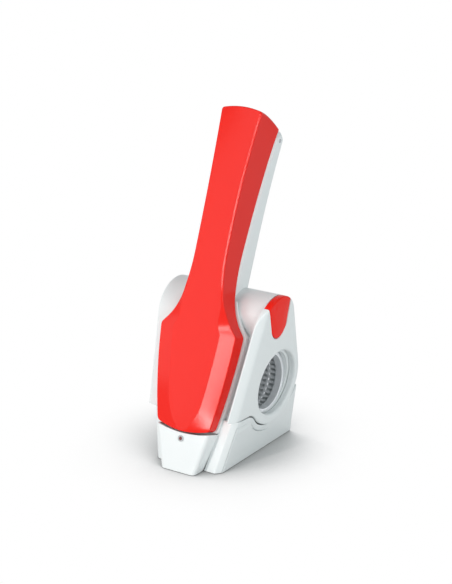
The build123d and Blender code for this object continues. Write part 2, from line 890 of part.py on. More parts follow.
# Axle of the idler and bush of the drum's spindle
with BuildPart() as idler_axle:
    rod(idler_y, idler_z, axle_r, gear_left - axle_end, wall_inner_x)
    rod(idler_y, idler_z, axle_r + axle_shoulder, gear_right + side_play, wall_outer_x)
idler_axle.part.label = "idler_axle"
export_step(idler_axle.part, "parts/idler_axle.step")

with BuildPart() as drum_bush:
    rod(drum_y, drum_z, bush_r, wall_outer_x, wall_inner_x)
    rod(drum_y, drum_z, bush_flange_r, gear_right + side_play, wall_outer_x)
    rod(drum_y, drum_z, spindle_r + run_fit, -wide, wide, Mode.SUBTRACT)
drum_bush.part.label = "drum_bush"
export_step(drum_bush.part, "parts/drum_bush.step")


def gear_outline(teeth, bore_r, first_tooth):
    """Spur gear with involute flanks, its first tooth centred at an angle."""
    pitch_r = module * teeth / 2
    base_r = pitch_r * cos(radians(pressure_angle))
    root_r = pitch_r - dedendum * module
    tip_r = pitch_r + addendum * module
    involute = tan(radians(pressure_angle)) - radians(pressure_angle)
    half_tooth = pi / (2 * teeth) - backlash / (2 * pitch_r) + involute
    flank = []
    for step in range(flank_steps + 1):
        radius = max(base_r, root_r) + (tip_r - max(base_r, root_r)) * step / flank_steps
        roll = acos(min(1.0, base_r / radius))
        flank.append((radius, half_tooth - (tan(roll) - roll)))
    if root_r < base_r:
        flank.insert(0, (root_r, flank[0][1]))
    points = []
    for tooth in range(teeth):
        middle = first_tooth + 2 * pi * tooth / teeth
        points += [(r * cos(middle - a), r * sin(middle - a)) for r, a in flank]
        points += [(r * cos(middle + a), r * sin(middle + a)) for r, a in reversed(flank)]
    with BuildSketch() as sketch:
        with BuildLine():
            Polyline(*points, close=True)
        make_face()
        Circle(bore_r, mode=Mode.SUBTRACT)
    return sketch.sketch


def meshing_tooth(teeth, mate_teeth, mate_tooth, heading):
    """Angle of a tooth so that the gear meshes with its mate, which lies back along the heading."""
    mate_phase = (heading - mate_tooth) * mate_teeth / (2 * pi)
    return heading + pi - (0.5 - mate_phase) * 2 * pi / teeth


first_heading = atan2(idler_z - barrel_z, idler_y - barrel_y)
second_heading = atan2(drum_z - idler_z, drum_y - idler_y)
idler_tooth = meshing_tooth(idler_teeth, pinion_teeth, 0.0, first_heading)
drum_tooth = meshing_tooth(drum_teeth, idler_teeth, idler_tooth, second_heading)

# Gears: pinion on the motor's shaft, idler on its axle, wheel on the drum's spindle
with BuildPart() as motor_pinion:
    with BuildSketch(across(gear_left)):
        with Locations((barrel_y, barrel_z)):
            add(gear_outline(pinion_teeth, shaft_r, 0.0))
    extrude(amount=gear_width)
motor_pinion.part.label = "motor_pinion"
export_step(motor_pinion.part, "parts/motor_pinion.step")

with BuildPart() as idler_gear:
    with BuildSketch(across(gear_left)):
        with Locations((idler_y, idler_z)):
            add(gear_outline(idler_teeth, axle_r + run_fit, idler_tooth))
    extrude(amount=gear_width)
idler_gear.part.label = "idler_gear"
export_step(idler_gear.part, "parts/idler_gear.step")

with BuildPart() as drum_gear:
    with BuildSketch(across(gear_left)):
        with Locations((drum_y, drum_z)):
            add(gear_outline(drum_teeth, spindle_r, drum_tooth))
    extrude(amount=gear_width)
drum_gear.part.label = "drum_gear"
export_step(drum_gear.part, "parts/drum_gear.step")

# Drum: closed hub with spindle, pierced sheet and open ring
with BuildPart() as drum_hub:
    rod(drum_y, drum_z, drum_sheet_r, drum_left - hub_disc, drum_left)
    rod(drum_y, drum_z, spindle_r, gear_left - axle_end, drum_left)
drum_hub.part.label = "drum_hub"
export_step(drum_hub.part, "parts/drum_hub.step")

with BuildPart() as drum_sheet:
    rod(drum_y, drum_z, drum_sheet_r, drum_left, drum_right)
    rod(drum_y, drum_z, drum_sheet_r - sheet_thickness, drum_left, drum_right, Mode.SUBTRACT)
    for row in range(grate_rows):
        x = drum_left + (ring_left - drum_left) * (row + 0.5) / grate_rows
        for column in range(grate_columns):
            angle = 360 * (column + (row % 2) / 2) / grate_columns
            spot = Location((x, drum_y - origin_depth, drum_z), (angle, 0, 0))
            with Locations(spot):
                Cylinder(
                    grate_hole_r,
                    2 * drum_sheet_r,
                    align=(Align.CENTER, Align.CENTER, Align.MIN),
                    mode=Mode.SUBTRACT,
                )
drum_sheet.part.label = "drum_sheet"
export_step(drum_sheet.part, "parts/drum_sheet.step")

with BuildPart() as drum_ring:
    rod(drum_y, drum_z, ring_r, ring_left + ring_play, ring_right)
    rod(drum_y, drum_z, ring_inner_r, ring_left, ring_right, Mode.SUBTRACT)
    rod(drum_y, drum_z, drum_sheet_r, ring_left, drum_right, Mode.SUBTRACT)
    fillet(drum_ring.edges().filter_by(GeomType.CIRCLE).group_by(Axis.X)[-1], radius=ring_round)
drum_ring.part.label = "drum_ring"
export_step(drum_ring.part, "parts/drum_ring.step")


def wave_arcs(grow):
    """Circle centre and radii of the wave under the side covers: the hump and the hollow round the drum."""
    reach = wave_r + wave_shell_r
    hump_z = wave_top - wave_r
    hump_y = drum_y - sqrt(reach**2 - (drum_z - hump_z) ** 2)
    return (hump_y, hump_z), wave_r + grow, wave_shell_r - grow


def cover_side():
    """Side profile of a side cover: leaning front, round top, slanted back and wavy lower edge."""
    hump, hump_r, hollow_r = wave_arcs(seat_gap)
    rise = tan(radians(front_edge_lean))
    back = (cos(radians(front_edge_lean)), -sin(radians(front_edge_lean)))
    low = (front_edge_foot + rise * (hump[1] + hump_r), hump[1] + hump_r)
    top = (barrel_y, barrel_z + barrel_r)
    run = (top[0] - low[0]) * back[0] + (top[1] - low[1]) * back[1]
    top_r = run / (1 + back[1])
    centre = (top[0], top[1] - top_r)
    reach = hypot(drum_y - barrel_y, drum_z - barrel_z)
    heading = atan2(drum_z - barrel_z, drum_y - barrel_y)
    back_turn = heading + acos((barrel_r - hollow_r) / reach)
    hump_turn = atan2(drum_z - hump[1], drum_y - hump[0])
    with BuildSketch() as sketch:
        with BuildLine():
            front_top = (centre[0] - top_r * back[0], centre[1] - top_r * back[1])
            Line(low, front_top)
            front_turn = 180 - front_edge_lean
            CenterArc(centre, top_r, front_turn, 90 - front_turn)
            CenterArc((barrel_y, barrel_z), barrel_r, 90, degrees(back_turn) - 90)
            Line(
                (barrel_y + barrel_r * cos(back_turn), barrel_z + barrel_r * sin(back_turn)),
                (drum_y + hollow_r * cos(back_turn), drum_z + hollow_r * sin(back_turn)),
            )
            sweep = degrees(hump_turn) + 180 - 360 - degrees(back_turn)
            CenterArc((drum_y, drum_z), hollow_r, degrees(back_turn), sweep)
            CenterArc(hump, hump_r, degrees(hump_turn), 90 - degrees(hump_turn))
            Line((hump[0], hump[1] + hump_r), low)
        make_face()
    return sketch.sketch


def cover_blank(side, rounding, bevelled):
    """Solid side cover between its tapered planes, with a round rim and a bevelled or round front edge."""
    hump, hump_r, _ = wave_arcs(seat_gap)
    low_z = hump[1] + hump_r
    low_y = front_edge_foot + tan(radians(front_edge_lean)) * low_z
    taper = radians(side_taper)
    edge = radians(front_edge_lean)
    inner_x = face_half(low_z) - cover_thickness / cos(taper)
    normal = (
        side * cos(taper) * bevel_depth,
        -cos(edge) * cover_thickness,
        sin(edge) * cover_thickness - sin(taper) * bevel_depth,
    )
    bevel = Plane(origin=(side * inner_x, low_y - origin_depth, low_z), z_dir=normal)
    with BuildPart() as blank:
        with BuildSketch(across(0)):
            add(cover_side())
        extrude(amount=side * wide)
        split(bisect_by=taper_plane(0, side), keep=Keep.BOTTOM)
        split(bisect_by=taper_plane(cover_thickness, side), keep=Keep.TOP)
        if bevelled:
            split(bisect_by=bevel, keep=Keep.BOTTOM)
        face = blank.faces().filter_by(GeomType.PLANE).sort_by(Axis((0, 0, 0), (side, 0, 0)))[-1]
        rim = face.edges().filter_by(lambda e: e.center().Z > drum_z).sort_by(Axis.Y)
        fillet(rim[1:] if bevelled else rim, radius=rounding)
    return blank.part


def button_side(grow, reach):
    """Side profile of the release button: a drop that narrows downwards, cut by the barrel's rim."""
    with BuildSketch() as sketch:
        add(
            belt(
                (button_high_y, button_high_z),
                button_high_r + grow,
                (button_low_y, button_low_z),
                button_low_r + grow,
            )
        )
        with Locations((barrel_y, barrel_z)):
            Circle(reach, mode=Mode.INTERSECT)
    return sketch.sketch


def button_skirt_side(grow, reach):
    """Side profile of the part of the button that wraps round the barrel's rim."""
    with BuildSketch() as sketch:
        add(button_side(grow, reach))
        with Locations((barrel_y, barrel_z)):
            Circle(barrel_r - button_skirt - grow, mode=Mode.SUBTRACT)
        with Locations((button_high_y, button_high_z - button_high_r)):
            Rectangle(wide, 2 * button_high_r, mode=Mode.SUBTRACT)
    return sketch.sketch


# Pocket for the button, open at the barrel's rim
with BuildPart() as button_pocket:
    with BuildSketch(across(0)):
        add(button_side(button_gap, barrel_r + wall))
    extrude(amount=wide)
    split(bisect_by=taper_plane(cover_thickness - button_floor, 1), keep=Keep.TOP)
    with BuildSketch(across(0)):
        add(button_skirt_side(button_gap, barrel_r + wall))
    extrude(amount=wide)

# Removable right cover with the outlet and the button's pocket
with BuildPart() as side_cover:
    add(cover_blank(1, cover_round, True))
    rod(drum_y, drum_z, outlet_r, 0, wide, Mode.SUBTRACT)
    with Locations((face_half(drum_z) + outlet_flare / 2, drum_y - origin_depth, drum_z)):
        Cone(
            outlet_r - outlet_flare,
            outlet_r + 2 * outlet_flare,
            3 * outlet_flare,
            rotation=(0, 90, 0),
            mode=Mode.SUBTRACT,
        )
    add(button_pocket.part, mode=Mode.SUBTRACT)
    rod(button_y, button_z, spring_r + fit_gap, button_seat_x, wide, Mode.SUBTRACT)
    rod(button_y, button_z, button_stem_r + run_fit, 0, wide, Mode.SUBTRACT)
side_cover.part.label = "side_cover"
export_step(side_cover.part, "parts/side_cover.step")

# Skirt of the button round the rim
with BuildPart() as button_wrap:
    with BuildSketch(across(0)):
        add(button_skirt_side(0, barrel_r))
    extrude(amount=wide)
    split(bisect_by=taper_plane(cover_thickness - button_travel - fit_gap, 1), keep=Keep.TOP)

# Release button with its stem, and the spring round the stem
with BuildPart() as release_button:
    with BuildSketch(across(0)):
        add(button_side(0, barrel_r))
    extrude(amount=wide)
    split(bisect_by=taper_plane(button_back, 1), keep=Keep.TOP)
    add(button_wrap.part)
    split(bisect_by=taper_plane(-button_proud, 1), keep=Keep.BOTTOM)
    outer = release_button.faces().filter_by(GeomType.PLANE).sort_by(Axis.X)[-1]
    fillet(outer.edges(), radius=button_round)
    rod(button_y, button_z, spring_r + fit_gap, button_seat_x, button_spring_top, Mode.SUBTRACT)
    rod(button_y, button_z, button_stem_r, button_seat_x - button_stem, button_spring_top)
    with Locations((face_half(dimple_z) + button_proud, dimple_y - origin_depth, dimple_z)):
        Sphere(dimple_r, mode=Mode.SUBTRACT)
release_button.part.label = "release_button"
export_step(release_button.part, "parts/release_button.step")

with BuildPart() as button_spring:
    rod(button_y, button_z, spring_r, button_seat_x, button_spring_top)
    rod(button_y, button_z, spring_r - spring_wall, button_seat_x, button_spring_top, Mode.SUBTRACT)
button_spring.part.label = "button_spring"
export_step(button_spring.part, "parts/button_spring.step")

# Left cover over the gears
with BuildPart() as left_gear_cover:
    add(cover_blank(-1, left_round, False))
    with BuildSketch(across(0)):
        add(gear_room())
    extrude(amount=gear_left - axle_end - side_play, mode=Mode.SUBTRACT)
    for depth, height in cover_screw_spots:
        seat = cover_screw_seat(height)
        rod(depth, height, screw_r, 0, -wide, Mode.SUBTRACT)
        rod(depth, height, screw_head_r + fit_gap, seat, -wide, Mode.SUBTRACT)
left_gear_cover.part.label = "left_gear_cover"
export_step(left_gear_cover.part, "parts/left_gear_cover.step")

with BuildPart() as cover_screws:
    for depth, height in cover_screw_spots:
        seat = cover_screw_seat(height)
        rod(depth, height, screw_r, seat, seat + screw_length)
        rod(depth, height, screw_head_r, seat, seat - screw_head)
cover_screws.part.label = "cover_screws"
export_step(cover_screws.part, "parts/cover_screws.step")


def dock_side():
    """Side profile of the dock: leaning front, wavy top edge, slanted back."""
    hump, hump_r, hollow_r = wave_arcs(0)
    hump_turn = atan2(drum_z - hump[1], drum_y - hump[0])
    back_turn = -acos((dock_back_top - drum_y) / hollow_r)
    with BuildSketch() as sketch:
        with BuildLine():
            Polyline(
                (hump[0], wave_top),
                (wing_front_top, wave_top),
                (wing_front_foot, dock_floor),
                (dock_back_foot, dock_floor),
                (dock_back_top, drum_z + hollow_r * sin(back_turn)),
            )
            CenterArc(hump, hump_r, 90, degrees(hump_turn) - 90)
            start = degrees(hump_turn) + 180
            CenterArc((drum_y, drum_z), hollow_r, start, degrees(back_turn) + 360 - start)
        make_face()
    return sketch.sketch


# Front tongue of the dock, which carries on the lever's front
with BuildPart() as dock_tongue:
    with BuildSketch(facing(tongue_back)):
        with BuildLine():
            top = ThreePointArc(
                (-tongue_top_half, tongue_top_s),
                (0, tongue_top_s - foot_bow),
                (tongue_top_half, tongue_top_s),
            )
            Polyline(
                top @ 1,
                (tongue_foot_half, 0),
                (2 * tongue_foot_half - tongue_top_half, -tongue_top_s),
                (tongue_top_half - 2 * tongue_foot_half, -tongue_top_s),
                (-tongue_foot_half, 0),
                top @ 0,
            )
        make_face()
    extrude(amount=wide)
    with BuildSketch(leaning(-wide)):
        with BuildLine():
            Polyline(
                (-tongue_top_s, 0),
                (0, 0),
                (2 * tongue_top_s, 2 * tongue_rise),
                (2 * tongue_top_s, -wide),
                (-tongue_top_s, -wide),
                close=True,
            )
        make_face()
    extrude(amount=2 * wide, mode=Mode.INTERSECT)
    tongue_front = dock_tongue.faces().sort_by(front_axis)[-1]
    tongue_sides = tongue_front.edges().filter_by(lambda e: abs(e.center().X) > tongue_foot_half / 2)
    fillet(tongue_sides, radius=tongue_round)
    split(bisect_by=Plane.XY.offset(dock_floor), keep=Keep.TOP)

# Dock shell
with BuildPart() as dock_shell:
    with BuildSketch(across(-wide)):
        add(dock_side())
    extrude(amount=2 * wide)
    for side in (-1, 1):
        tilt = radians(dock_taper)
        normal = (side * cos(tilt), 0, -sin(tilt))
        outer = Plane(origin=(side * face_half(wave_top), 0, wave_top), x_dir=(0, 1, 0), z_dir=normal)
        split(bisect_by=outer, keep=Keep.BOTTOM)
        edge = atan2(wing_front_top - wing_front_foot, wave_top - dock_floor)
        bevel_normal = (side * cos(tilt), -cos(edge), sin(edge) - sin(tilt))
        corner = (side * (face_half(wave_top) - dock_bevel), wing_front_top - origin_depth, wave_top)
        split(bisect_by=Plane(origin=corner, z_dir=bevel_normal), keep=Keep.BOTTOM)
    for side in (-1, 1):
        wing = dock_shell.faces().filter_by(GeomType.PLANE).sort_by(Axis((0, 0, 0), (side, 0, 0)))[-1]
        upper = wing.edges().filter_by(lambda e: e.center().Z > foot_r)
        chamfer(upper, length=wing_crease)
    with BuildSketch(leaning(-seat_half)):
        add(housing_side(seat_gap))
    extrude(amount=2 * seat_half, mode=Mode.SUBTRACT)
    with BuildSketch(facing(frame_back - seat_gap)):
        add(full_outline)
        offset(amount=frame_margin + seat_gap, mode=Mode.REPLACE)
    extrude(amount=wide, mode=Mode.SUBTRACT)
    add(dock_tongue.part)
    with BuildSketch(Plane.XY.offset(dock_floor)):
        with Locations((0, (cavity_front + cavity_back) / 2 - origin_depth)):
            Rectangle(2 * cavity_half, cavity_back - cavity_front)
    extrude(amount=cavity_height - dock_floor, mode=Mode.SUBTRACT)
    with BuildSketch(Plane.XY.offset(dock_floor + plate_thickness)):
        with Locations(*dock_screw_spots):
            Circle(dock_post_r)
    extrude(amount=cavity_height - dock_floor - plate_thickness)
    with BuildSketch(Plane.XY.offset(dock_floor + plate_thickness)):
        with Locations(*dock_screw_spots):
            Circle(screw_r)
    extrude(amount=screw_length, mode=Mode.SUBTRACT)
    stud(0, led_s, led_r, led_front - led_length, wide, Mode.SUBTRACT)
    stud(0, led_s, bezel_r, led_front - bezel_height, wide, Mode.SUBTRACT)
    with Locations(*[(x, drum_y - origin_depth, drum_z - wave_shell_r) for x in (-pin_spread, pin_spread)]):
        Cylinder(contact_pin_r, 2 * (drum_z - wave_shell_r - cavity_height), mode=Mode.SUBTRACT)
    with BuildSketch(inlet_plane):
        Circle(inlet_r)
    extrude(amount=wide, mode=Mode.SUBTRACT)
dock_shell.part.label = "dock_shell"
export_step(dock_shell.part, "parts/dock_shell.step")

# Bottom plate with pegs for the charging board
with BuildPart() as dock_bottom_plate:
    with BuildSketch(Plane.XY.offset(dock_floor)):
        with Locations((0, (cavity_front + cavity_back) / 2 - origin_depth)):
            Rectangle(2 * (cavity_half - fit_gap), cavity_back - cavity_front - 2 * fit_gap)
    extrude(amount=plate_thickness)
    with BuildSketch(Plane.XY.offset(dock_floor + plate_thickness)):
        with Locations((0, dock_board_y - origin_depth)):
            with GridLocations(dock_board_width - 3 * peg_r, dock_board_length - 3 * peg_r, 2, 2):
                Circle(peg_r)
    extrude(amount=dock_board_height - dock_floor - plate_thickness)
    with BuildSketch(Plane.XY.offset(dock_floor)):
        with Locations(*dock_screw_spots):
            Circle(screw_r)
    extrude(amount=plate_thickness, mode=Mode.SUBTRACT)
    with BuildSketch(Plane.XY.offset(dock_floor)):
        with Locations(*dock_foot_spots):
            Circle(foot_r)
    extrude(amount=foot_sink, mode=Mode.SUBTRACT)
dock_bottom_plate.part.label = "dock_bottom_plate"
export_step(dock_bottom_plate.part, "parts/dock_bottom_plate.step")

with BuildPart() as dock_screws:
    with BuildSketch(Plane.XY.offset(dock_floor)):
        with Locations(*dock_screw_spots):
            Circle(screw_r)
    extrude(amount=plate_thickness + screw_length - fit_gap)
    with BuildSketch(Plane.XY.offset(dock_floor)):
        with Locations(*dock_screw_spots):
            Circle(screw_head_r)
    extrude(amount=-screw_head / 2)
dock_screws.part.label = "dock_screws"
export_step(dock_screws.part, "parts/dock_screws.step")

with BuildPart() as dock_feet:
    with BuildSketch(Plane.XY):
        with Locations(*dock_foot_spots):
            Circle(foot_r)
    extrude(amount=dock_floor + foot_sink)
dock_feet.part.label = "dock_feet"
export_step(dock_feet.part, "parts/dock_feet.step")

# Charging board, contact pins, lamp and power inlet of the dock
with BuildPart() as dock_circuit_board:
    with BuildSketch(Plane.XY.offset(dock_board_height)):
        with Locations((0, dock_board_y - origin_depth)):
            Rectangle(dock_board_width, dock_board_length)
    extrude(amount=board_thickness)
    with BuildSketch(Plane.XY.offset(dock_board_height + board_thickness)):
        with Locations((0, dock_board_y - origin_depth)):
            with GridLocations(dock_board_width / 2, dock_board_length / 2, 2, 2):
                Rectangle(chip_width, chip_length)
    extrude(amount=chip_height)
dock_circuit_board.part.label = "dock_circuit_board"
export_step(dock_circuit_board.part, "parts/dock_circuit_board.step")

with BuildPart() as dock_contact_pins:
    for x in (-pin_spread, pin_spread):
        with Locations((x, drum_y - origin_depth, drum_z - wave_shell_r + contact_pin_rise)):
            Cylinder(contact_pin_r, contact_pin_length, align=(Align.CENTER, Align.CENTER, Align.MAX))
dock_contact_pins.part.label = "dock_contact_pins"
export_step(dock_contact_pins.part, "parts/dock_contact_pins.step")

with BuildPart() as dock_led_lens:
    stud(0, led_s, led_r, led_front - led_length, led_front + bezel_height / 2)
dock_led_lens.part.label = "dock_led_lens"
export_step(dock_led_lens.part, "parts/dock_led_lens.step")

with BuildPart() as dock_led_bezel:
    stud(0, led_s, bezel_r, led_front - bezel_height, led_front + bezel_height)
    stud(0, led_s, led_r, led_front - bezel_height, led_front + bezel_height, Mode.SUBTRACT)
dock_led_bezel.part.label = "dock_led_bezel"
export_step(dock_led_bezel.part, "parts/dock_led_bezel.step")

with BuildPart() as dock_power_inlet:
    with BuildSketch(inlet_plane):
        Circle(inlet_r)
    extrude(amount=inlet_length)
    with BuildSketch(inlet_plane.offset(inlet_length)):
        Circle(inlet_bore_r)
    extrude(amount=-inlet_depth, mode=Mode.SUBTRACT)
dock_power_inlet.part.label = "dock_power_inlet"
export_step(dock_power_inlet.part, "parts/dock_power_inlet.step")
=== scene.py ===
# %% [markdown]
# # A cordless drum grater standing in its charging dock
#
# The object is a white kitchen grater with a red squeeze lever. It stands in a white dock that
# charges it. This lesson loads the engineering model as a fixed frame, gives every part a finish,
# and replaces the parts that the eye goes to first with smooth surfaces worked out with numpy.

# %% Load the frame
import json
import math

import bmesh
import bpy
import numpy as np
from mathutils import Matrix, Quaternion, Vector


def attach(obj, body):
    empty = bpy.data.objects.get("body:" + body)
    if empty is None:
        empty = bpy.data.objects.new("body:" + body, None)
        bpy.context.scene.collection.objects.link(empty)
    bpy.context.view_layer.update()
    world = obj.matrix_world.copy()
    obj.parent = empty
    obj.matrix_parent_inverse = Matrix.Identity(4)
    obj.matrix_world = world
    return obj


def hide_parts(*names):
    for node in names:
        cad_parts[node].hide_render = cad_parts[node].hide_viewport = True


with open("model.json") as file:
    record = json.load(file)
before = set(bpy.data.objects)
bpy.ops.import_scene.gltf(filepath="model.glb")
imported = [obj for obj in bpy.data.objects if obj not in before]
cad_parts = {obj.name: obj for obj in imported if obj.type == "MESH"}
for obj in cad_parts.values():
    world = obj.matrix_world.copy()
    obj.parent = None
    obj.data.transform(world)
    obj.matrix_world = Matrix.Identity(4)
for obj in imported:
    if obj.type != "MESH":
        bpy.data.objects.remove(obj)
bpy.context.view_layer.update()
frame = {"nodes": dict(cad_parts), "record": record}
nodes = frame["nodes"]

# %% [markdown]
# ## Shader maths as plain expressions
#
# A finish on moulded plastic or rolled steel is a small formula: a colour, plus a little noise, and
# a roughness that wanders. Writing nodes one by one hides the formula. A small class that wraps a
# socket and overloads the operators keeps it readable, and one method makes every other node.

# %% A wrapped socket


class Socket:
    """A node's output that can be used in arithmetic; each operator adds one Math node."""

    def __init__(self, graph, output):
        self.graph, self.output = graph, output

    def _math(self, operation, *values):
        return self.graph.node("ShaderNodeMath", {"operation": operation}, dict(enumerate(values)))

    def __add__(self, other):
        return self._math("ADD", self, other)

    def __mul__(self, other):
        return self._math("MULTIPLY", self, other)

    def __sub__(self, other):
        return self._math("SUBTRACT", self, other)

    def __rsub__(self, other):
        return self._math("SUBTRACT", other, self)

    __radd__ = __add__
    __rmul__ = __mul__


class Graph:
    """A node tree that is filled by one method."""

    def __init__(self, tree):
        self.tree = tree

    def put(self, socket, value):
        """Links a wrapped socket, or sets a plain number or colour on the socket."""
        if isinstance(value, Socket):
            self.tree.links.new(value.output, socket)
        else:
            socket.default_value = value

    def node(self, kind, settings=None, inputs=None, out=0):
        """Makes one node: its settings first, then its sockets, and returns the named output wrapped."""
        made = self.tree.nodes.new(kind)
        for key, value in (settings or {}).items():
            setattr(made, key, value)
        for key, value in (inputs or {}).items():
            self.put(made.inputs[key], value)
        return Socket(self, made.outputs[out])


# %% [markdown]
# Every finish of the grater starts from the same shader, so a finish is a node tree with that shader
# in it and short names for the few nodes that all of them use. Patterns read Object coordinates: they
# are in metres, so a scale is a number of waves per metre on the real thing.

# %% A finish


class Finish(Graph):
    """A material with a Principled shader, built from expressions on Object coordinates."""

    def __init__(self, name, slot):
        self.slot = slot
        self.material = bpy.data.materials.new(name)
        self.material.use_nodes = True
        super().__init__(self.material.node_tree)
        self.shader = self.tree.nodes["Principled BSDF"]
        self.place = self.node("ShaderNodeTexCoord", out="Object")

    def noise(self, scale, detail=3.0, roughness=0.55):
        """Soft noise from 0 to 1 at a number of waves per metre."""
        inputs = {"Vector": self.place, "Scale": scale, "Detail": detail, "Roughness": roughness}
        return self.node("ShaderNodeTexNoise", None, inputs, out="Fac")

    def mix(self, factor, first, second):
        """Blend of two colours by a factor."""
        inputs = {"Factor": factor, 6: first, 7: second}
        return self.node("ShaderNodeMix", {"data_type": "RGBA"}, inputs, out=2)

    def bump(self, height, distance, strength):
        """Normal from a height expression, in metres."""
        inputs = {"Height": height, "Distance": distance, "Strength": strength}
        return self.node("ShaderNodeBump", None, inputs, out="Normal")

    def shade(self, **sockets):
        """Fills sockets of the Principled shader by name, with underscores for spaces."""
        for name, value in sockets.items():
            self.put(self.shader.inputs[name.replace("_", " ")], value)
        return self


def rgb(red, green, blue):
    """Linear colour from the usual screen values from 0 to 255."""
    screen = np.array([red, green, blue]) / 255.0
    linear = np.where(screen <= 0.04045, screen / 12.92, ((screen + 0.055) / 1.055) ** 2.4)
    return (*linear.tolist(), 1.0)


print("middle grey:", [round(v, 3) for v in rgb(128, 128, 128)])

# %% [markdown]
# ## Plastics
#
# The grater is injection moulded. Moulded plastic is not one flat colour: the melt leaves faint
# clouds, the tool's polish leaves a fine orange peel, and handling dulls it in patches. Each finish
# below is a base colour with those three things at their real scale. A photograph of plastic could be
# wrapped round the parts instead, but a formula has no seams and works on every piece alike.

# %% Moulded plastics
CLOUD_WAVES, WEAR_WAVES = 38.0, 150.0
WEAR_SPREAD, PEEL_STRENGTH = 0.06, 0.35


def moulded(name, slot, colour, cloud, roughness, shine=0.5, grain=900.0, peel=0.000004):
    """Plastic: clouds of a second colour, wandering roughness and a fine orange peel."""
    finish = Finish(name, slot)
    worn = finish.noise(WEAR_WAVES, detail=4.0)
    return finish.shade(
        Base_Color=finish.mix(finish.noise(CLOUD_WAVES), colour, cloud),
        Roughness=roughness - WEAR_SPREAD / 2 + worn * WEAR_SPREAD,
        Normal=finish.bump(finish.noise(grain, detail=2.0), peel, PEEL_STRENGTH),
        Specular_IOR_Level=shine,
    )


plastics = [
    moulded("red_gloss", "red_plastic", rgb(232, 36, 26), rgb(229, 33, 23), 0.12, 0.15, 420.0),
    moulded("button_red", "red_button", rgb(246, 40, 28), rgb(243, 36, 25), 0.22, 0.08, 420.0),
    moulded("white_satin", "white_plastic", rgb(230, 234, 234), rgb(226, 231, 231), 0.34, 0.4),
    moulded("white_presser", "white_presser", rgb(228, 230, 230), rgb(220, 223, 223), 0.5),
    moulded("grey_matt", "grey_plastic", rgb(150, 152, 154), rgb(140, 143, 146), 0.55),
    moulded("gear_nylon", "gear_plastic", rgb(226, 222, 208), rgb(214, 208, 190), 0.48),
    moulded("black_moulded", "black_plastic", rgb(28, 28, 30), rgb(22, 22, 24), 0.5),
    moulded("plunger_white", "plunger_plastic", rgb(214, 214, 208), rgb(205, 205, 198), 0.45),
    moulded("foot_rubber", "foot_rubber", rgb(36, 36, 37), rgb(28, 28, 29), 0.8, 0.3, 1600.0, 0.00005),
    moulded("cell_wrap", "cell_wrap", rgb(52, 96, 160), rgb(46, 88, 150), 0.3),
    moulded("lamp_red", "lamp_red", rgb(120, 18, 16), rgb(96, 12, 12), 0.2),
    moulded("lamp_grey", "lamp_ring", rgb(176, 178, 180), rgb(166, 168, 171), 0.45),
]
print("plastics:", len(plastics))

# %% [markdown]
# ## Metals and boards
#
# The drum is rolled stainless sheet, with faint lines along the drum from the rollers. Screws, pins and
# contacts are turned or stamped. Lines squeezed along one axis move both the shine and the surface. The
# circuit boards are green mask over copper, and a brick pattern stands for the tracks below it. Scratches
# and tracks could be modelled, but they are far too fine for faces.

# %% Metals and boards
BRUSH_WAVES, STAIN_WAVES = 300.0, 60.0
BRUSH_SPREAD, BRUSH_DEEP, BRUSH_STRENGTH = 0.16, 0.00002, 0.3
TRACK_WAVES, TRACK_WIDTH, MASK_ROUGH, TRACK_ROUGH = 260.0, 0.05, 0.35, 0.1


def metal(name, slot, colour, stain, roughness, brush, metallic=1.0):
    """Metal: lines of brushing squeezed along one axis move the roughness and the surface."""
    finish = Finish(name, slot)
    turned = finish.node("ShaderNodeMapping", None, {"Vector": finish.place, "Scale": brush}, out="Vector")
    inputs = {"Vector": turned, "Scale": BRUSH_WAVES, "Detail": 4.0}
    lines = finish.node("ShaderNodeTexNoise", None, inputs, out="Fac")
    return finish.shade(
        Base_Color=finish.mix(finish.noise(STAIN_WAVES), colour, stain),
        Metallic=metallic,
        Roughness=roughness - BRUSH_SPREAD / 2 + lines * BRUSH_SPREAD,
        Normal=finish.bump(lines, BRUSH_DEEP, BRUSH_STRENGTH),
    )


def board(name, slot):
    """Circuit board: green mask with faint copper tracks showing through."""
    finish = Finish(name, slot)
    inputs = {"Vector": finish.place, "Scale": TRACK_WAVES, "Mortar Size": TRACK_WIDTH}
    tracks = finish.node("ShaderNodeTexBrick", None, inputs, out="Fac")
    return finish.shade(
        Base_Color=finish.mix(tracks, rgb(22, 92, 54), rgb(52, 128, 76)),
        Roughness=MASK_ROUGH + tracks * TRACK_ROUGH,
    )


metals = [
    metal("drum_steel", "drum_steel", rgb(238, 240, 242), rgb(230, 233, 236), 0.32, (0.06, 1, 1), 0.35),
    metal("zinc_steel", "zinc_steel", rgb(190, 192, 196), rgb(172, 174, 180), 0.36, (1, 1, 0.2)),
    metal("sinter_bronze", "bronze", rgb(176, 134, 86), rgb(150, 112, 70), 0.45, (1, 1, 1)),
    metal("contact_brass", "contact_brass", rgb(214, 184, 116), rgb(198, 166, 98), 0.3, (1, 1, 1)),
]
finishes = {finish.slot: finish for finish in plastics + metals + [board("board_green", "board_green")]}
for row in frame["record"]["subparts"]:
    mesh = nodes[row["node"]].data
    mesh.materials.clear()
    mesh.materials.append(finishes[row["material_slot"]].material)
print("finishes:", len(finishes))

# %% [markdown]
# ## From drawing sizes to points
#
# The grater's drawing gives millimetres along three directions: width to the right, station up the
# leaning front, and level ahead of that front. The side covers are drawn instead in depth and height.
# A piece could be modelled upright and tilted afterwards, but finished objects stay unturned at the
# origin. So small functions turn either kind into points of the frame, in metres, for whole arrays at
# once, and every surface below can stay a formula in drawing sizes.

# %% Drawing sizes into the frame
MM = 0.001
ORIGIN_DEPTH = 73.9
LEAN = math.radians(18.5)


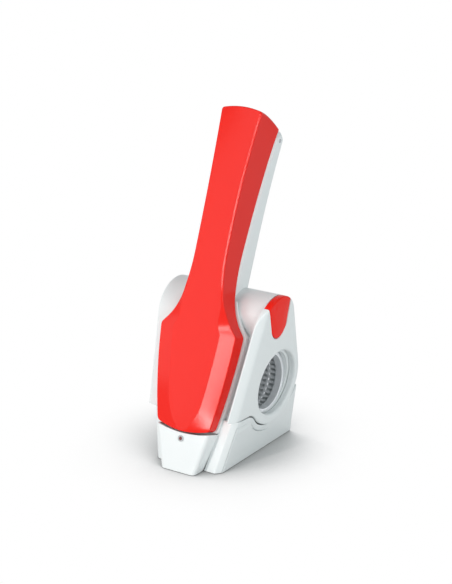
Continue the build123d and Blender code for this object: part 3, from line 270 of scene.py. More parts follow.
def from_lean(width, station, level):
    """Points in metres from width, station and level.

    Depth is station·sin(lean) − level·cos(lean), and height is station·cos(lean) + level·sin(lean).
    """
    width, station, level = np.broadcast_arrays(width, station, level)
    depth = station * math.sin(LEAN) - level * math.cos(LEAN) - ORIGIN_DEPTH
    height = station * math.cos(LEAN) + level * math.sin(LEAN)
    return np.stack([width, depth, height], axis=-1) * MM


def from_side(width, depth, height):
    """Points in metres from width, depth behind the dock's front foot, and height."""
    width, depth, height = np.broadcast_arrays(width, depth, height)
    return np.stack([width, depth - ORIGIN_DEPTH, height], axis=-1) * MM


def around(centre, radius, turn):
    """Two coordinates at a radius and a turn about a centre: centre + radius·(cos turn, sin turn)."""
    return centre[0] + radius * np.cos(turn), centre[1] + radius * np.sin(turn)


print("100 mm up the lean:", from_lean(0.0, 100.0, 0.0).round(4).tolist())

# %% [markdown]
# ## Curves
#
# Moulded parts are drawn with straight runs, arcs and rounded edges. Blender's own curves could draw
# them, but rows of points go straight into a grid. These helpers make a straight run, an arc round a
# centre, an arc through three points, and the drop of a rounded edge.

# %% Runs, arcs and edges


def ease(values, start, end):
    """Smooth step from 0 at the start to 1 at the end: 3t² − 2t³ with t held between 0 and 1."""
    t = np.clip((values - start) / (end - start), 0.0, 1.0)
    return t * t * (3.0 - 2.0 * t)


def rounding(distance, radius):
    """Drop of a rounded edge at a distance from it: radius − √(radius² − (radius − distance)²)."""
    t = np.clip(1.0 - distance / radius, 0.0, 1.0)
    return radius * (1.0 - np.sqrt(1.0 - t * t))


def soft_min(first, second, blend):
    """The smaller of two fields with a soft change-over.

    It is −blend·log(e^(−first/blend) + e^(−second/blend)).
    """
    return -blend * np.logaddexp(-first / blend, -second / blend)


def straight(first, last, count=60):
    """Points of a straight run: first + (last − first)·t, with t from 0 to 1."""
    return first + (last - first) * np.linspace(0.0, 1.0, count)[:, None]


def circle_arc(centre, radius, start, end, count=60):
    """Points of an arc: centre + radius·(cos a, sin a), with a from start to end in degrees."""
    return np.stack(around(centre, radius, np.radians(np.linspace(start, end, count))), axis=-1)


def full_circle(centre, radius, count=33):
    """Points once round a centre, the last on the first."""
    return circle_arc(centre, radius, 0.0, 360.0, count)


def arc_through(first, middle, last):
    """Points of the arc through three points; its centre is equally far from all three."""
    a, b, c = (np.array(point, dtype=float) for point in (first, middle, last))
    centre = np.linalg.solve(2.0 * np.array([b - a, c - a]), np.array([b @ b - a @ a, c @ c - a @ a]))
    spokes_out = np.array([a, b, c]) - centre
    turns = np.degrees(np.unwrap(np.arctan2(spokes_out[:, 1], spokes_out[:, 0])))
    return circle_arc(centre, np.linalg.norm(spokes_out[0]), turns[0], turns[2])


print("quarter circle:", circle_arc((0.0, 0.0), 1.0, 0.0, 90.0, 3).round(3).tolist())

# %% [markdown]
# A section is a path with corners, and on a moulded part the corners are bent. The same section is
# wanted at many rows at once, with corners that move from row to row, so the corners are kept as one
# array of rows by corners, and each corner is replaced by a parabola between its two runs.

# %% Sections with bent corners
LONGEST_BEND = 0.48
SHORTEST_RUN = 1e-9


def sections(corners, rows):
    """Corners of one section per row, rows × corners × coordinates; plain numbers stay the same."""
    placed = [np.stack([np.broadcast_to(value, rows) for value in corner], axis=-1) for corner in corners]
    return np.stack(placed, axis=1)


def bent_path(corners, radii, runs, closed=True, bend=6):
    """Path through corners, each bent by a parabola (1−t)²P + 2t(1−t)C + t²Q between its two runs.

    corners is rows × corners × coordinates; P and Q lie on the runs at the corner's radius from C.
    """
    count = corners.shape[1]
    bends = []
    for k in range(count):
        here = corners[:, k]
        bare = radii[k] == 0 or (not closed and k in (0, count - 1))
        t = np.zeros((1, 1, 1)) if bare else np.linspace(0.0, 1.0, bend + 1)[None, :, None]
        ends = []
        for other in (corners[:, k - 1], corners[:, (k + 1) % count]):
            length = np.linalg.norm(other - here, axis=-1, keepdims=True)
            share = np.minimum(radii[k] / np.maximum(length, SHORTEST_RUN), LONGEST_BEND) * (not bare)
            ends.append((here + (other - here) * share)[:, None])
        bends.append((1 - t) ** 2 * ends[0] + 2 * t * (1 - t) * here[:, None] + t**2 * ends[1])
    path = [bends[0]]
    for k in range(1, count + closed):
        start, end = bends[k - 1][:, -1:], bends[k % count]
        t = np.linspace(0.0, 1.0, runs[k - 1] + 1)[None, 1:-1, None]
        path += [start + (end[:, :1] - start) * t, end if k < count else end[:, :1]]
    return np.concatenate(path, axis=1)


square = sections([(0.0, 0.0), (1.0, 0.0), (1.0, 1.0), (0.0, 1.0)], 1)
print("square with bent corners:", bent_path(square, [0.2] * 4, [2] * 4).shape[1], "points")

# %% [markdown]
# ## Grids into meshes
#
# Every piece is one or more grids of points, rows by columns, and four neighbours make a face.
# A mesh could be built corner by corner, but whole arrays of numbers are quicker and shorter. Borders
# that fall on each other are merged, which closes seams and poles, and the faces are then turned
# outwards. Edges sharper than an angle stay sharp and the rest is shaded smooth.

# %% One mesh from several grids
MERGE = 0.000002


def grid_faces(rows, columns, start=0):
    """Faces of a grid whose points are numbered row by row: each point with its three neighbours."""
    index = start + np.arange(rows * columns).reshape(rows, columns)
    return np.stack([index[:-1, :-1], index[1:, :-1], index[1:, 1:], index[:-1, 1:]], axis=-1)


def piece(name, grids, body, finish, replaced, crease=32.0, keep=None):
    """Joins grids (rows × columns × 3) into one mesh on a body; keep marks the faces of a pierced grid."""
    points, faces, start = [], [], 0
    for grid in grids:
        quads = grid_faces(*grid.shape[:2], start)
        points.append(grid.reshape(-1, 3))
        faces.append(quads.reshape(-1, 4) if keep is None else quads[keep])
        start += len(points[-1])
    mesh = bpy.data.meshes.new(name)
    mesh.from_pydata(np.concatenate(points).tolist(), [], np.concatenate(faces).tolist())
    shape = bmesh.new()
    shape.from_mesh(mesh)
    bmesh.ops.remove_doubles(shape, verts=shape.verts, dist=MERGE)
    bmesh.ops.dissolve_degenerate(shape, edges=shape.edges, dist=MERGE)
    bmesh.ops.recalc_face_normals(shape, faces=shape.faces)
    shape.to_mesh(mesh)
    open_edges = sum(edge.is_boundary for edge in shape.edges)
    shape.free()
    mesh.shade_smooth()
    mesh.set_sharp_from_angle(angle=math.radians(crease))
    mesh.materials.append(finish.material)
    made = bpy.data.objects.new(name, mesh)
    bpy.context.scene.collection.objects.link(made)
    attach(made, body)
    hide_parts(replaced)
    print(f"{name}: {len(mesh.polygons)} faces, {open_edges} open edges")
    return made


def ladder(row):
    """Grid that closes a loop's end: each point of the row is joined to its mirror from the row's end."""
    half = (len(row) + 1) // 2
    return np.stack([row[:half], row[::-1][:half]], axis=1)


def bar(first_ring, last_ring):
    """Closed bar between two rings of points, its ends drawn to the rings' middles."""
    ends = [np.broadcast_to(ring.mean(axis=0), ring.shape) for ring in (first_ring, last_ring)]
    return np.stack([ends[0], first_ring, last_ring, ends[1]])


# %% [markdown]
# ## Red lever
#
# The lever is what the hand squeezes and the largest thing in the picture: a thin moulded shell with
# a flat front, a shallow facet along each edge that is a thin line on the handle and a broad band
# below the shoulders, and plain sides down to the parting line. It could be bent from a flat outline,
# but the width, the bulge and the facet all change together, so it is a section carried up the lean.
# Each section is a closed loop, outer skin and inner skin, whose corners follow curves of the station.

# %% Red lever, curves along the station
LEVER_FOOT, LEVER_TIP = 41.4, 329.0
LEVER_SIDES = (
    ((27.9, LEVER_FOOT), (36.3, 90.0), (40.1, 130.0)),
    ((40.1, 130.0), (26.8, 147.0), (21.3, 161.0)),
    ((21.3, 161.0), (18.2, 180.0), (17.0, 203.0)),
    ((17.0, 203.0), (17.9, 270.0), (21.4, LEVER_TIP)),
)
SHOULDER_SOFTNESS = 2.0
FRONT_FOOT, FRONT_BULGE, FRONT_SET_BACK = 2.5, 8.5, 1.5
PART_LEVEL, PART_START, PART_SLOPE = -7.1, 128.0, 0.149


def lever_half(station):
    """Half width: four arcs end to end, averaged over a few millimetres to soften the shoulder."""
    outline = np.concatenate([arc_through(*corners) for corners in LEVER_SIDES])
    reach = np.linspace(-SHOULDER_SOFTNESS, SHOULDER_SOFTNESS, 9)
    return np.interp(station[:, None] + reach, outline[:, 1], outline[:, 0]).mean(axis=1)


def lever_front(station):
    """Level of the front: a straight line from foot to tip plus the parabola 4·bulge·t·(1−t)."""
    t = station / LEVER_TIP
    return FRONT_FOOT * (1 - t) + 4 * FRONT_BULGE * t * (1 - t) - FRONT_SET_BACK * t


def parting(station):
    """Level of the parting line: flat below its start, then sloping back."""
    return PART_LEVEL - PART_SLOPE * np.maximum(0.0, station - PART_START)


print("lever's half width at both ends:", lever_half(np.array([LEVER_FOOT, LEVER_TIP])).round(1).tolist())

# %% [markdown]
# The corners of a section are where the side meets the parting line, where it meets the facet, and
# where the facet meets the front. Below the shoulders the facets close in on each other, so the front
# ends in an arch above the foot.

# %% Red lever, corners of its sections
LEVER_WALL, PAD_LEVEL, PAD_END, EAVE_STEP = 2.4, 4.3, (140.0, 155.0), 0.1
FACET_BAND, FACET_LINE, BAND_END = 15.0, 2.0, (128.0, 158.0)
FACET_DEEP, FACET_FINE, DEEP_END = 2.5, 0.4, (138.0, 172.0)
PANEL_ARCH = 66.0
FOOT_CORNER, TIP_CORNER, END_ROUND = 4.5, 3.0, 1.0
TIP_DROP, TIP_REACH, TIP_EASE = 11.5, 45.0, 1.5


def lever_sections(station):
    """Corners of each section as width, level and share of inner skin: outer skin, then inner skin."""
    from_foot, from_tip = station - LEVER_FOOT, LEVER_TIP - station
    half = lever_half(station) - rounding(from_foot, FOOT_CORNER) - rounding(from_tip, TIP_CORNER)
    front = lever_front(station) - rounding(np.minimum(from_foot, from_tip), END_ROUND)
    edge = front - FACET_DEEP - (FACET_FINE - FACET_DEEP) * ease(station, *DEEP_END)
    arch = np.sqrt(1.0 - np.clip((PANEL_ARCH - station) / (PANEL_ARCH - LEVER_FOOT), 0.0, 1.0) ** 2)
    panel = (half - FACET_BAND - (FACET_LINE - FACET_BAND) * ease(station, *BAND_END)) * arch
    tip_fade = np.clip(1.0 - from_tip / TIP_REACH, 0.0, 1.0) ** TIP_EASE
    back = parting(station - TIP_DROP * tip_fade)
    inner, thin = half - LEVER_WALL, front - LEVER_WALL
    roof = PAD_LEVEL + (thin - PAD_LEVEL) * ease(station, *PAD_END)
    eave = np.minimum(edge - LEVER_WALL, roof - EAVE_STEP)
    outer_half = [(half, back, 0.0), (half, edge, 0.0), (panel, front, 0.0)]
    inner_half = [(inner, back, 1.0), (inner, eave, 1.0), (panel, roof, 1.0)]
    outer_skin = outer_half + [(-width, level, skin) for width, level, skin in outer_half[::-1]]
    inner_skin = [(-width, level, skin) for width, level, skin in inner_half] + inner_half[::-1]
    return sections(outer_skin + inner_skin, len(station)), half, front, tip_fade


# %% [markdown]
# The ends of the real lever are not cut square: the foot is bowed, and the tip is bowed and drops
# towards the back. Shifting the points along the station does both at once, and carrying the inner
# skin inwards by the wall leaves a wall at both ends.

# %% Red lever, shell
FOOT_BOW, FOOT_REACH = 3.6, 30.0
TIP_BOW, TIP_DEPTH, TIP_BEND = 2.2, 36.0, 1.6
RIM_ROUND, SIDE_ROUND = 0.5, 0.8
LEVER_ROWS = 240


def lever_shell():
    """Loops up the lean, shifted along it, and the column where the inner skin starts.

    The shift is bow·(1 − (width/half)²) at both ends, and a drop towards the back at the tip.
    """
    t = 0.5 - 0.5 * np.cos(np.linspace(0.0, np.pi, LEVER_ROWS))
    station = LEVER_FOOT + (LEVER_TIP - LEVER_FOOT) * t
    corners, half, front, tip_fade = lever_sections(station)
    outer_radii = [RIM_ROUND, SIDE_ROUND, 0, 0, SIDE_ROUND, RIM_ROUND]
    inner_radii = [RIM_ROUND, 0, 0, 0, 0, RIM_ROUND]
    loops = bent_path(corners, outer_radii + inner_radii, [8, 8, 16, 8, 8, 1] * 2)
    width, level, inner = loops[..., 0], loops[..., 1], loops[..., 2]
    foot_fade = (np.clip(1.0 - (station - LEVER_FOOT) / FOOT_REACH, 0.0, 1.0) ** 2)[:, None]
    tip_fade = tip_fade[:, None]
    across = 1.0 - np.clip(width / half[:, None], -1.0, 1.0) ** 2
    depth = np.clip((front[:, None] - level) / TIP_DEPTH, 0.0, 1.0)
    shift = tip_fade * (TIP_BOW * across - TIP_DROP * depth**TIP_BEND) - foot_fade * FOOT_BOW * across
    shift = shift + LEVER_WALL * inner * (foot_fade - tip_fade)
    return from_lean(width, station[:, None] + shift, level), int(np.argmax(inner[0] > 0.5))


lever_loops, skin_end = lever_shell()
lever_grids = [lever_loops]
for row in (lever_loops[0], lever_loops[-1]):
    outer_row, inner_row = row[:skin_end], row[skin_end:-1]
    rim = np.stack([outer_row[[0, -1]], inner_row[[-1, 0]]])
    lever_grids += [ladder(outer_row), ladder(inner_row), rim]
print("lever shell:", lever_loops.shape[0], "loops of", lever_loops.shape[1], "points")

# %% [markdown]
# Inside the lever are the two lugs that ride on the hinge pin and the post that presses the switch.
# They only show when the lever is swung open, so plain bars are enough.

# %% Red lever, lugs and post
PIN_STATION, PIN_LEVEL = 308.0, -43.56
LUG_IN, LUG_OUT, LUG_R = 11.0, 15.0, 5.5
LUG_SPREAD = 3 * LUG_R
POST_STATION, POST_FOOT, POST_R = 206.0, -19.42, 2.5

lug_top = lever_front(PIN_STATION) - LEVER_WALL / 2
lug_outline = np.concatenate([
    circle_arc((PIN_STATION, PIN_LEVEL), LUG_R, 180.0, 360.0),
    [(PIN_STATION + LUG_R, lug_top), (PIN_STATION - LUG_SPREAD, lug_top), (PIN_STATION - LUG_R, PIN_LEVEL)],
])
for side in (-1, 1):
    rings = [from_lean(side * x, lug_outline[:, 0], lug_outline[:, 1]) for x in (LUG_IN, LUG_OUT)]
    lever_grids.append(bar(*rings))
post_ring = full_circle((0.0, POST_STATION), POST_R)
post_top = lever_front(POST_STATION) - LEVER_WALL / 2
lever_grids.append(bar(*(from_lean(post_ring[:, 0], post_ring[:, 1], n) for n in (POST_FOOT, post_top))))

piece("red_lever", lever_grids, "lever", finishes["red_plastic"], "lever_cover", crease=4.0)

# %% [markdown]
# ## Side covers
#
# Both ends of the body are closed by covers of the same outline: a leaning front edge, a round top
# over the motor barrel and a wavy lower edge that follows the dock. A cover could be cut from a plate,
# but a spoke turned round a centre inside the outline reaches every point of it once, so a cover is
# instead a section of thickness against radius, carried round the centre.

# %% Outline of the side covers
DRUM, BARREL, BARREL_R = (90.0, 66.0), (84.0, 128.0), 24.5
HUMP, HUMP_R, HOLLOW_R, HUMP_TURN = (44.93, 27.0), 20.6, 39.0, 40.87
SEAM_FRONT, EDGE_FOOT, BACK_TURN = 48.6, 3.8, 19.0
EDGE_LEAN = math.radians(19.5)
HALF_WIDTH, HALF_WIDTH_HEIGHT, SIDE_TAPER = 57.5, 150.0, math.tan(math.radians(6.4))
COVER_THICK = 7.0


def cover_outline():
    """Corner at the foot of the leaning front, arc into the top, barrel, hollow round the drum, hump."""
    low = np.array([EDGE_FOOT + math.tan(EDGE_LEAN) * SEAM_FRONT, SEAM_FRONT])
    top = np.array([BARREL[0], BARREL[1] + BARREL_R])
    back = np.array([math.cos(EDGE_LEAN), -math.sin(EDGE_LEAN)])
    top_r = (top - low) @ back / (1.0 + back[1])
    front_top = circle_arc(top - (0.0, top_r), top_r, 180.0 - math.degrees(EDGE_LEAN), 90.0)
    front_edge = straight(low, front_top[0])
    barrel = circle_arc(BARREL, BARREL_R, 90.0, BACK_TURN)
    hollow = circle_arc(DRUM, HOLLOW_R, BACK_TURN, HUMP_TURN - 180.0, count=200)
    slope = straight(barrel[-1], hollow[0])[1:-1]
    hump = circle_arc(HUMP, HUMP_R, HUMP_TURN, 90.0)
    brow = straight(hump[-1], low, count=40)[1:-1]
    return np.concatenate([front_edge, front_top[1:], barrel[1:], slope, hollow, hump[1:], brow])


def spokes(outline, centre, turns):
    """Distance of an outline from a centre at each turn, for an outline that every spoke meets once."""
    apart = outline - np.array(centre)
    angle = np.arctan2(apart[:, 1], apart[:, 0])
    order = np.argsort(angle)
    return np.interp(turns, angle[order], np.hypot(*apart[order].T), period=2.0 * np.pi)


def on_cover(side, depth, height, rise, thickness, gap=0.0):
    """Points on a tapered cover: its back plane, plus the rise's share of the way from gap to thickness."""
    back = HALF_WIDTH - (HALF_WIDTH_HEIGHT - height) * SIDE_TAPER - COVER_THICK
    return from_side(side * (back + gap + rise * (thickness - gap) / COVER_THICK), depth, height)


print("cover outline:", len(cover_outline()), "points")

# %% [markdown]
# The right cover comes off for cleaning. It has the round outlet with a soft lip, a bevel along
# its leaning front, and a pocket for the release button. The pocket is a fan seen from the drum's
# middle, so both the cover, which is drawn in there, and the button use the same lower edge.

# %% Right cover, bevel and fan
BEVEL_START, BEVEL_DEPTH, BEVEL_SOFTNESS = 1.6, 8.0, 0.6
BUTTON_TURN, BUTTON_SPREAD, BUTTON_REACH = math.radians(96.0), math.radians(12.2), 70.0
BUTTON_FOOT, BUTTON_BOWL, BUTTON_GAP = 46.9, 14.0, 0.35
FAN_SOFTNESS, FAN_STEPS = 0.25, 48


def cover_thickness(depth, height):
    """Thickness behind the leaning front edge: a bevel that rises with the distance, softly up to full."""
    behind = (depth - EDGE_FOOT - math.tan(EDGE_LEAN) * height) * math.cos(EDGE_LEAN)
    bevel = BEVEL_START + behind * (COVER_THICK - BEVEL_START) / BEVEL_DEPTH
    return soft_min(np.full_like(depth, COVER_THICK), bevel, BEVEL_SOFTNESS)


def fan_foot(turns, spread, foot):
    """Lower edge of the button's fan seen from the drum, half an ellipse: foot + bowl·(1 − √(1 − t²))."""
    t = np.clip((turns - BUTTON_TURN) / spread, -1.0, 1.0)
    return foot + BUTTON_BOWL * (1.0 - np.sqrt(1.0 - t * t))


def fan_block(spread, foot, rim_inset, low, high):
    """Block on the button's fan: for each turn a loop along its underside and back over its top.

    low and high give the rise of the two at each share of the way and distance from the nearest side.
    """
    t = 0.5 - 0.5 * np.cos(np.linspace(0.0, np.pi, FAN_STEPS))
    turns = BUTTON_TURN + spread * (2.0 * t - 1.0)
    start = fan_foot(turns, spread, foot)[:, None]
    end = spokes(cover_outline(), DRUM, turns)[:, None] - rim_inset
    radius = start + (end - start) * t
    near = soft_min(radius - start, end - radius, FAN_SOFTNESS)
    near = soft_min(near, (spread - np.abs(turns - BUTTON_TURN))[:, None] * radius, FAN_SOFTNESS)
    depth, height = around(DRUM, radius, turns[:, None])
    rises = [rise(t, near, depth, height) for rise in (low, high)]
    under, over = (on_cover(1, depth, height, rise, COVER_THICK) for rise in rises)
    loops = np.concatenate([under, over[:, ::-1], under[:, :1]], axis=1)
    return [loops, ladder(loops[0, :-1]), ladder(loops[-1, :-1])]


print("button's fan:", round(math.degrees(2.0 * BUTTON_SPREAD), 1), "degrees wide")

# %% [markdown]
# With the fan known, the cover is one section carried round the drum: up from the outlet's lip, over
# the face and round the outer edge. Where the button sits, the outer edge jumps in to the fan's foot, and
# two spokes a hair apart make that jump a clean wall. A Boolean cut would leave the same pocket with
# ragged faces along its edge.

# %% Right cover with its outlet
OUTLET_R, OUTLET_SHIFT, OUTLET_LIP = 30.4, 2.4, 5.0
COVER_ROUND, COVER_GAP = 1.6, 0.6
POCKET_FLOOR, POCKET_RIM, POCKET_LAP = 1.6, 4.5, 1.0
SLIVER, COVER_STEPS = math.radians(0.05), 601


def right_cover():
    """Loops of radius and rise carried round the drum, drawn in where the button's pocket is."""
    spread = BUTTON_SPREAD + BUTTON_GAP / BUTTON_REACH
    sides = [BUTTON_TURN + k * spread + j * SLIVER for k in (-1, 1) for j in (-0.5, 0.5)]
    turns = np.sort(np.concatenate([np.linspace(-np.pi, np.pi, COVER_STEPS), sides]))
    reach = spokes(cover_outline(), DRUM, turns)
    in_fan = np.abs(turns - BUTTON_TURN) < spread
    reach = np.where(in_fan, fan_foot(turns, spread, BUTTON_FOOT - BUTTON_GAP), reach)
    hole = OUTLET_SHIFT * np.cos(turns) + np.sqrt(OUTLET_R**2 - (OUTLET_SHIFT * np.sin(turns)) ** 2)
    corners = sections([(hole, 0.0), (hole, COVER_THICK), (reach, COVER_THICK), (reach, 0.0)], len(turns))
    loops = bent_path(corners, [0, OUTLET_LIP, COVER_ROUND, 0], [4, 36, 4, 12])
    depth, height = around(DRUM, loops[..., 0], turns[:, None])
    return on_cover(1, depth, height, loops[..., 1], cover_thickness(depth, height), COVER_GAP)


pocket = fan_block(
    BUTTON_SPREAD, BUTTON_FOOT - POCKET_LAP, POCKET_RIM,
    lambda t, near, depth, height: np.zeros_like(depth),
    lambda t, near, depth, height: np.full_like(depth, POCKET_FLOOR),
)
piece("outlet_cover", [right_cover()] + pocket, "side_cover", finishes["white_plastic"], "side_cover")

# %% [markdown]
# ## Release button
#
# The red button stands half a millimetre proud of the cover and wraps over the barrel's rim. It is
# the same fan as its pocket, less a gap, with all its edges rounded by the distance to the nearest
# side, a faint crown, and a small moulded dimple near the front corner. A Bevel modifier would round the
# edges too, but it can't crown the top as well. The stem goes through the cover.

# %% Release button
BUTTON_PROUD, BUTTON_ROUND, BUTTON_CROWN, CROWN_RUN = 0.5, 1.5, 0.35, 9.0
BUTTON_UNDER, BUTTON_SKIRT, SKIRT_SPAN = 2.8, 1.2, (0.84, 0.88)
DIMPLE, DIMPLE_R, DIMPLE_DEEP = (73.4, 144.2), 1.1, 0.7
STEM, STEM_R, STEM_REACH = (84.5, 132.5), 2.5, (38.0, 51.0)


def button_under(t, near, depth, height):
    """Rise of the underside: level over the pocket, lower in the skirt at the rim."""
    rise = BUTTON_UNDER + (BUTTON_SKIRT - BUTTON_UNDER) * ease(t, *SKIRT_SPAN)
    return np.broadcast_to(rise, depth.shape)


def button_over(t, near, depth, height):
    """Rise of the top: proud and crowned, rounded near every side, less a bell-shaped dimple."""
    dent = ((depth - DIMPLE[0]) ** 2 + (height - DIMPLE[1]) ** 2) / DIMPLE_R**2
    crown = BUTTON_CROWN * (ease(near, 0.0, CROWN_RUN) - 1.0)
    return COVER_THICK + BUTTON_PROUD + crown - rounding(near, BUTTON_ROUND) - DIMPLE_DEEP * np.exp(-dent)


stem_ring = full_circle(STEM, STEM_R)
stem = bar(*(from_side(x, stem_ring[:, 0], stem_ring[:, 1]) for x in STEM_REACH))
button_grids = fan_block(BUTTON_SPREAD, BUTTON_FOOT, 0.0, button_under, button_over)
piece("red_button", button_grids + [stem], "button", finishes["red_button"], "release_button")

# %% [markdown]
# ## Left cover
#
# The left cover closes the gears and has no outlet. In the picture only a soft pillow of it shows
# beyond the lever, round at the top and deep enough to reach in behind the handle. It could be a
# squashed ball, but its edge has to follow the right cover's, so the same outline serves, with a larger
# rounding on the outside and a pillow on the inside that is set back in front.

# %% Left cover
LEFT_CENTRE, LEFT_ROUND = (84.0, 96.0), 6.5
PILLOW_LOW, PILLOW_HIGH, PILLOW_HEIGHT = 8.0, 25.0, (118.0, 138.0)
PILLOW_ROUND, PILLOW_SHOULDER, PILLOW_GAP = 6.0, -0.6, 0.4
PILLOW_SET_BACK, SET_BACK_STARTS, SET_BACK_ENDS = 9.0, (95.0, 130.0), (195.0, 215.0)
STEP_ROUND, STEP_RISE, LEFT_STEPS = 0.3, 0.05, 481


def left_cover():
    """Half loops from the middle of the back, over the pillow behind the lever, round the rim, to the face.

    The pillow reaches inwards just short of the lever, so it is deeper where the lever is narrow.
    """
    turns = np.linspace(-np.pi, np.pi, LEFT_STEPS)
    reach = spokes(cover_outline(), LEFT_CENTRE, turns)
    ahead = np.degrees(turns) % 360.0
    set_back = PILLOW_SET_BACK * ease(ahead, *SET_BACK_STARTS) * (1.0 - ease(ahead, *SET_BACK_ENDS))
    flush, neck = reach - PILLOW_GAP, reach - PILLOW_GAP - set_back
    pillow_path = [(0.0, -1.0), (neck, -1.0), (flush, PILLOW_SHOULDER)]
    cover_path = [(reach, STEP_RISE), (reach, 1.0), (0.0, 1.0)]
    corners = sections(pillow_path + cover_path, len(turns))
    corners[..., 1] *= COVER_THICK
    radii = [0, 0, PILLOW_ROUND, STEP_ROUND, LEFT_ROUND, 0]
    loops = bent_path(corners, radii, [8, 8, 8, 3, 24], closed=False, bend=10)
    depth, height = around(LEFT_CENTRE, loops[..., 0], turns[:, None])
    pillow = PILLOW_LOW + (PILLOW_HIGH - PILLOW_LOW) * ease(height, *PILLOW_HEIGHT)
    return on_cover(-1, depth, height, loops[..., 1], np.where(loops[..., 1] < 0.0, pillow, COVER_THICK))


piece("gear_cover", [left_cover()], "body", finishes["white_plastic"], "left_gear_cover")

# %% [markdown]
# ## Grating drum
#
# The drum is a rolled steel sheet, punched so that every hole has a raised cutting lip. Rows of them
# run along the drum, and looking into the outlet they read as spokes of light and dark. The holes could
# be a mask in the material, but a lip needs a shape, so the sheet is a cylinder whose radius swells over
# each hole, and the middle of each swelling is left open.

# %% Drum sheet
SHEET_R, SHEET_SPAN, SHEET_THICK = 28.3, (-29.9, 33.0), 0.0006
TEETH_ROUND, TEETH_ROWS, TOOTH_RISE = 36, 6, 1.5
TOOTH_STEPS, ROW_STEPS = 10, 14
TOOTH_HALF, HOLE_MIDDLE, HOLE_HALF = (0.34, 0.40), 0.05, (0.21, 0.36)


def drum_sheet():
    """Cylinder that swells by rise·(1 − (u/a)²)·(1 − (v/b)²) in each tooth, and the faces that are kept.

    u and v run from −½ to ½ round and along each tooth, and a and b are the tooth's half sizes.
    """
    turn_share = np.arange(TEETH_ROUND * TOOTH_STEPS + 1) / TOOTH_STEPS
    row_share = np.arange(TEETH_ROWS * ROW_STEPS + 1) / ROW_STEPS
    stagger = 0.5 * (np.floor(row_share) % 2)[:, None]
    u = (turn_share[None, :] + stagger) % 1.0 - 0.5
    v = (row_share % 1.0)[:, None] - 0.5
    round_swell = np.clip(1.0 - (u / TOOTH_HALF[0]) ** 2, 0.0, 1.0)
    along_swell = np.clip(1.0 - (v / TOOTH_HALF[1]) ** 2, 0.0, 1.0)
    turn = 2.0 * np.pi * turn_share[None, :] / TEETH_ROUND
    width = SHEET_SPAN[0] + (SHEET_SPAN[1] - SHEET_SPAN[0]) * row_share[:, None] / TEETH_ROWS
    grid = from_side(width, *around(DRUM, SHEET_R + TOOTH_RISE * round_swell * along_swell, turn))
    centre_u = (u[:-1, :-1] + 0.5 / TOOTH_STEPS + 0.5) % 1.0 - 0.5
    centre_v = v[:-1] + 0.5 / ROW_STEPS
    holes = (np.abs(centre_u - HOLE_MIDDLE) < HOLE_HALF[0]) & (np.abs(centre_v) < HOLE_HALF[1])
    return grid, ~holes


sheet_grid, solid_faces = drum_sheet()
steel = finishes["drum_steel"]
grating_sheet = piece("grating_sheet", [sheet_grid], "drum", steel, "drum_sheet", keep=solid_faces)
thickness = grating_sheet.modifiers.new("thickness", "SOLIDIFY")
thickness.thickness, thickness.offset = SHEET_THICK, -1.0

# %% [markdown]
# A turned ring stiffens the open end of the drum. It is the bright circle in the outlet. A Screw
# modifier could turn its outline, but the helpers above already bend corners, so it is a section with
# rounded edges and one groove, carried round the axis.

# %% Drum ring
RING_OUT, RING_IN, RING_BACK, RING_FACE = 28.9, 25.8, 31.2, 38.5
GROOVE_IN, GROOVE_OUT, GROOVE_DEEP = 27.3, 28.0, 0.7
GROOVE_FLOOR = RING_FACE - GROOVE_DEEP
BACK_EDGE, FACE_EDGE, GROOVE_EDGE, RING_STEPS = 0.3, 0.6, 0.2, 145

ring_section = sections([
    (RING_IN, RING_BACK), (RING_IN, RING_FACE), (GROOVE_IN, RING_FACE), (GROOVE_IN, GROOVE_FLOOR),
    (GROOVE_OUT, GROOVE_FLOOR), (GROOVE_OUT, RING_FACE), (RING_OUT, RING_FACE), (RING_OUT, RING_BACK),
], 1)
ring_radii = [BACK_EDGE, FACE_EDGE] + [GROOVE_EDGE] * 4 + [FACE_EDGE, BACK_EDGE]
ring_path = bent_path(ring_section, ring_radii, [6, 2, 2, 1, 2, 2, 6, 4])
ring_turn = np.linspace(0.0, 2.0 * np.pi, RING_STEPS)[:, None]
ring_grid = from_side(ring_path[..., 1], *around(DRUM, ring_path[..., 0], ring_turn))
piece("end_ring", [ring_grid], "drum", steel, "drum_ring")

# %% [markdown]
# ## Charging dock
#
# The dock is one white moulding: a cradle with two wings, whose wavy upper edge follows the side
# covers, and a tongue in front that carries on the lever's front. The cradle is a section across the
# width carried from front to back. Its upper edge is a curve of the depth, and each wing's wall is
# tapered, bevelled in front and has a fine crease that runs inside its edge. All this could be cut from
# a block, but the crease and the rounded edge have to follow the outline, so the rows of points are
# lines at set distances inside it.

# %% Cradle, edges of the wings
DOCK_FLOOR, WAVE_FRONT, WAVE_GAP = 0.5, 47.8, 1.3
WING_FRONT, WING_BACK = (15.0, 27.0), (128.0, 136.5)
FRONT_LEAN = (WING_FRONT[1] - WING_FRONT[0]) / (WAVE_FRONT - DOCK_FLOOR)
CORNER_BLEND, CORNER_GROWTH = 0.02, 0.25


def wave(depth):
    """Wavy edge of the cradle at a depth: falling brow, hump, then the hollow round the drum."""
    hump_r, hollow_r = HUMP_R - WAVE_GAP, HOLLOW_R + WAVE_GAP
    brow = (depth - WING_FRONT[1]) / (HUMP[0] - WING_FRONT[1])
    brow = WAVE_FRONT + (HUMP[1] + hump_r - WAVE_FRONT) * brow
    hump = HUMP[1] + np.sqrt(np.maximum(hump_r**2 - (depth - HUMP[0]) ** 2, 0.0))
    hollow = DRUM[1] - np.sqrt(np.maximum(hollow_r**2 - (depth - DRUM[0]) ** 2, 0.0))
    join = HUMP[0] + hump_r * math.cos(math.radians(HUMP_TURN))
    return np.where(depth < HUMP[0], brow, np.where(depth < join, hump, hollow))


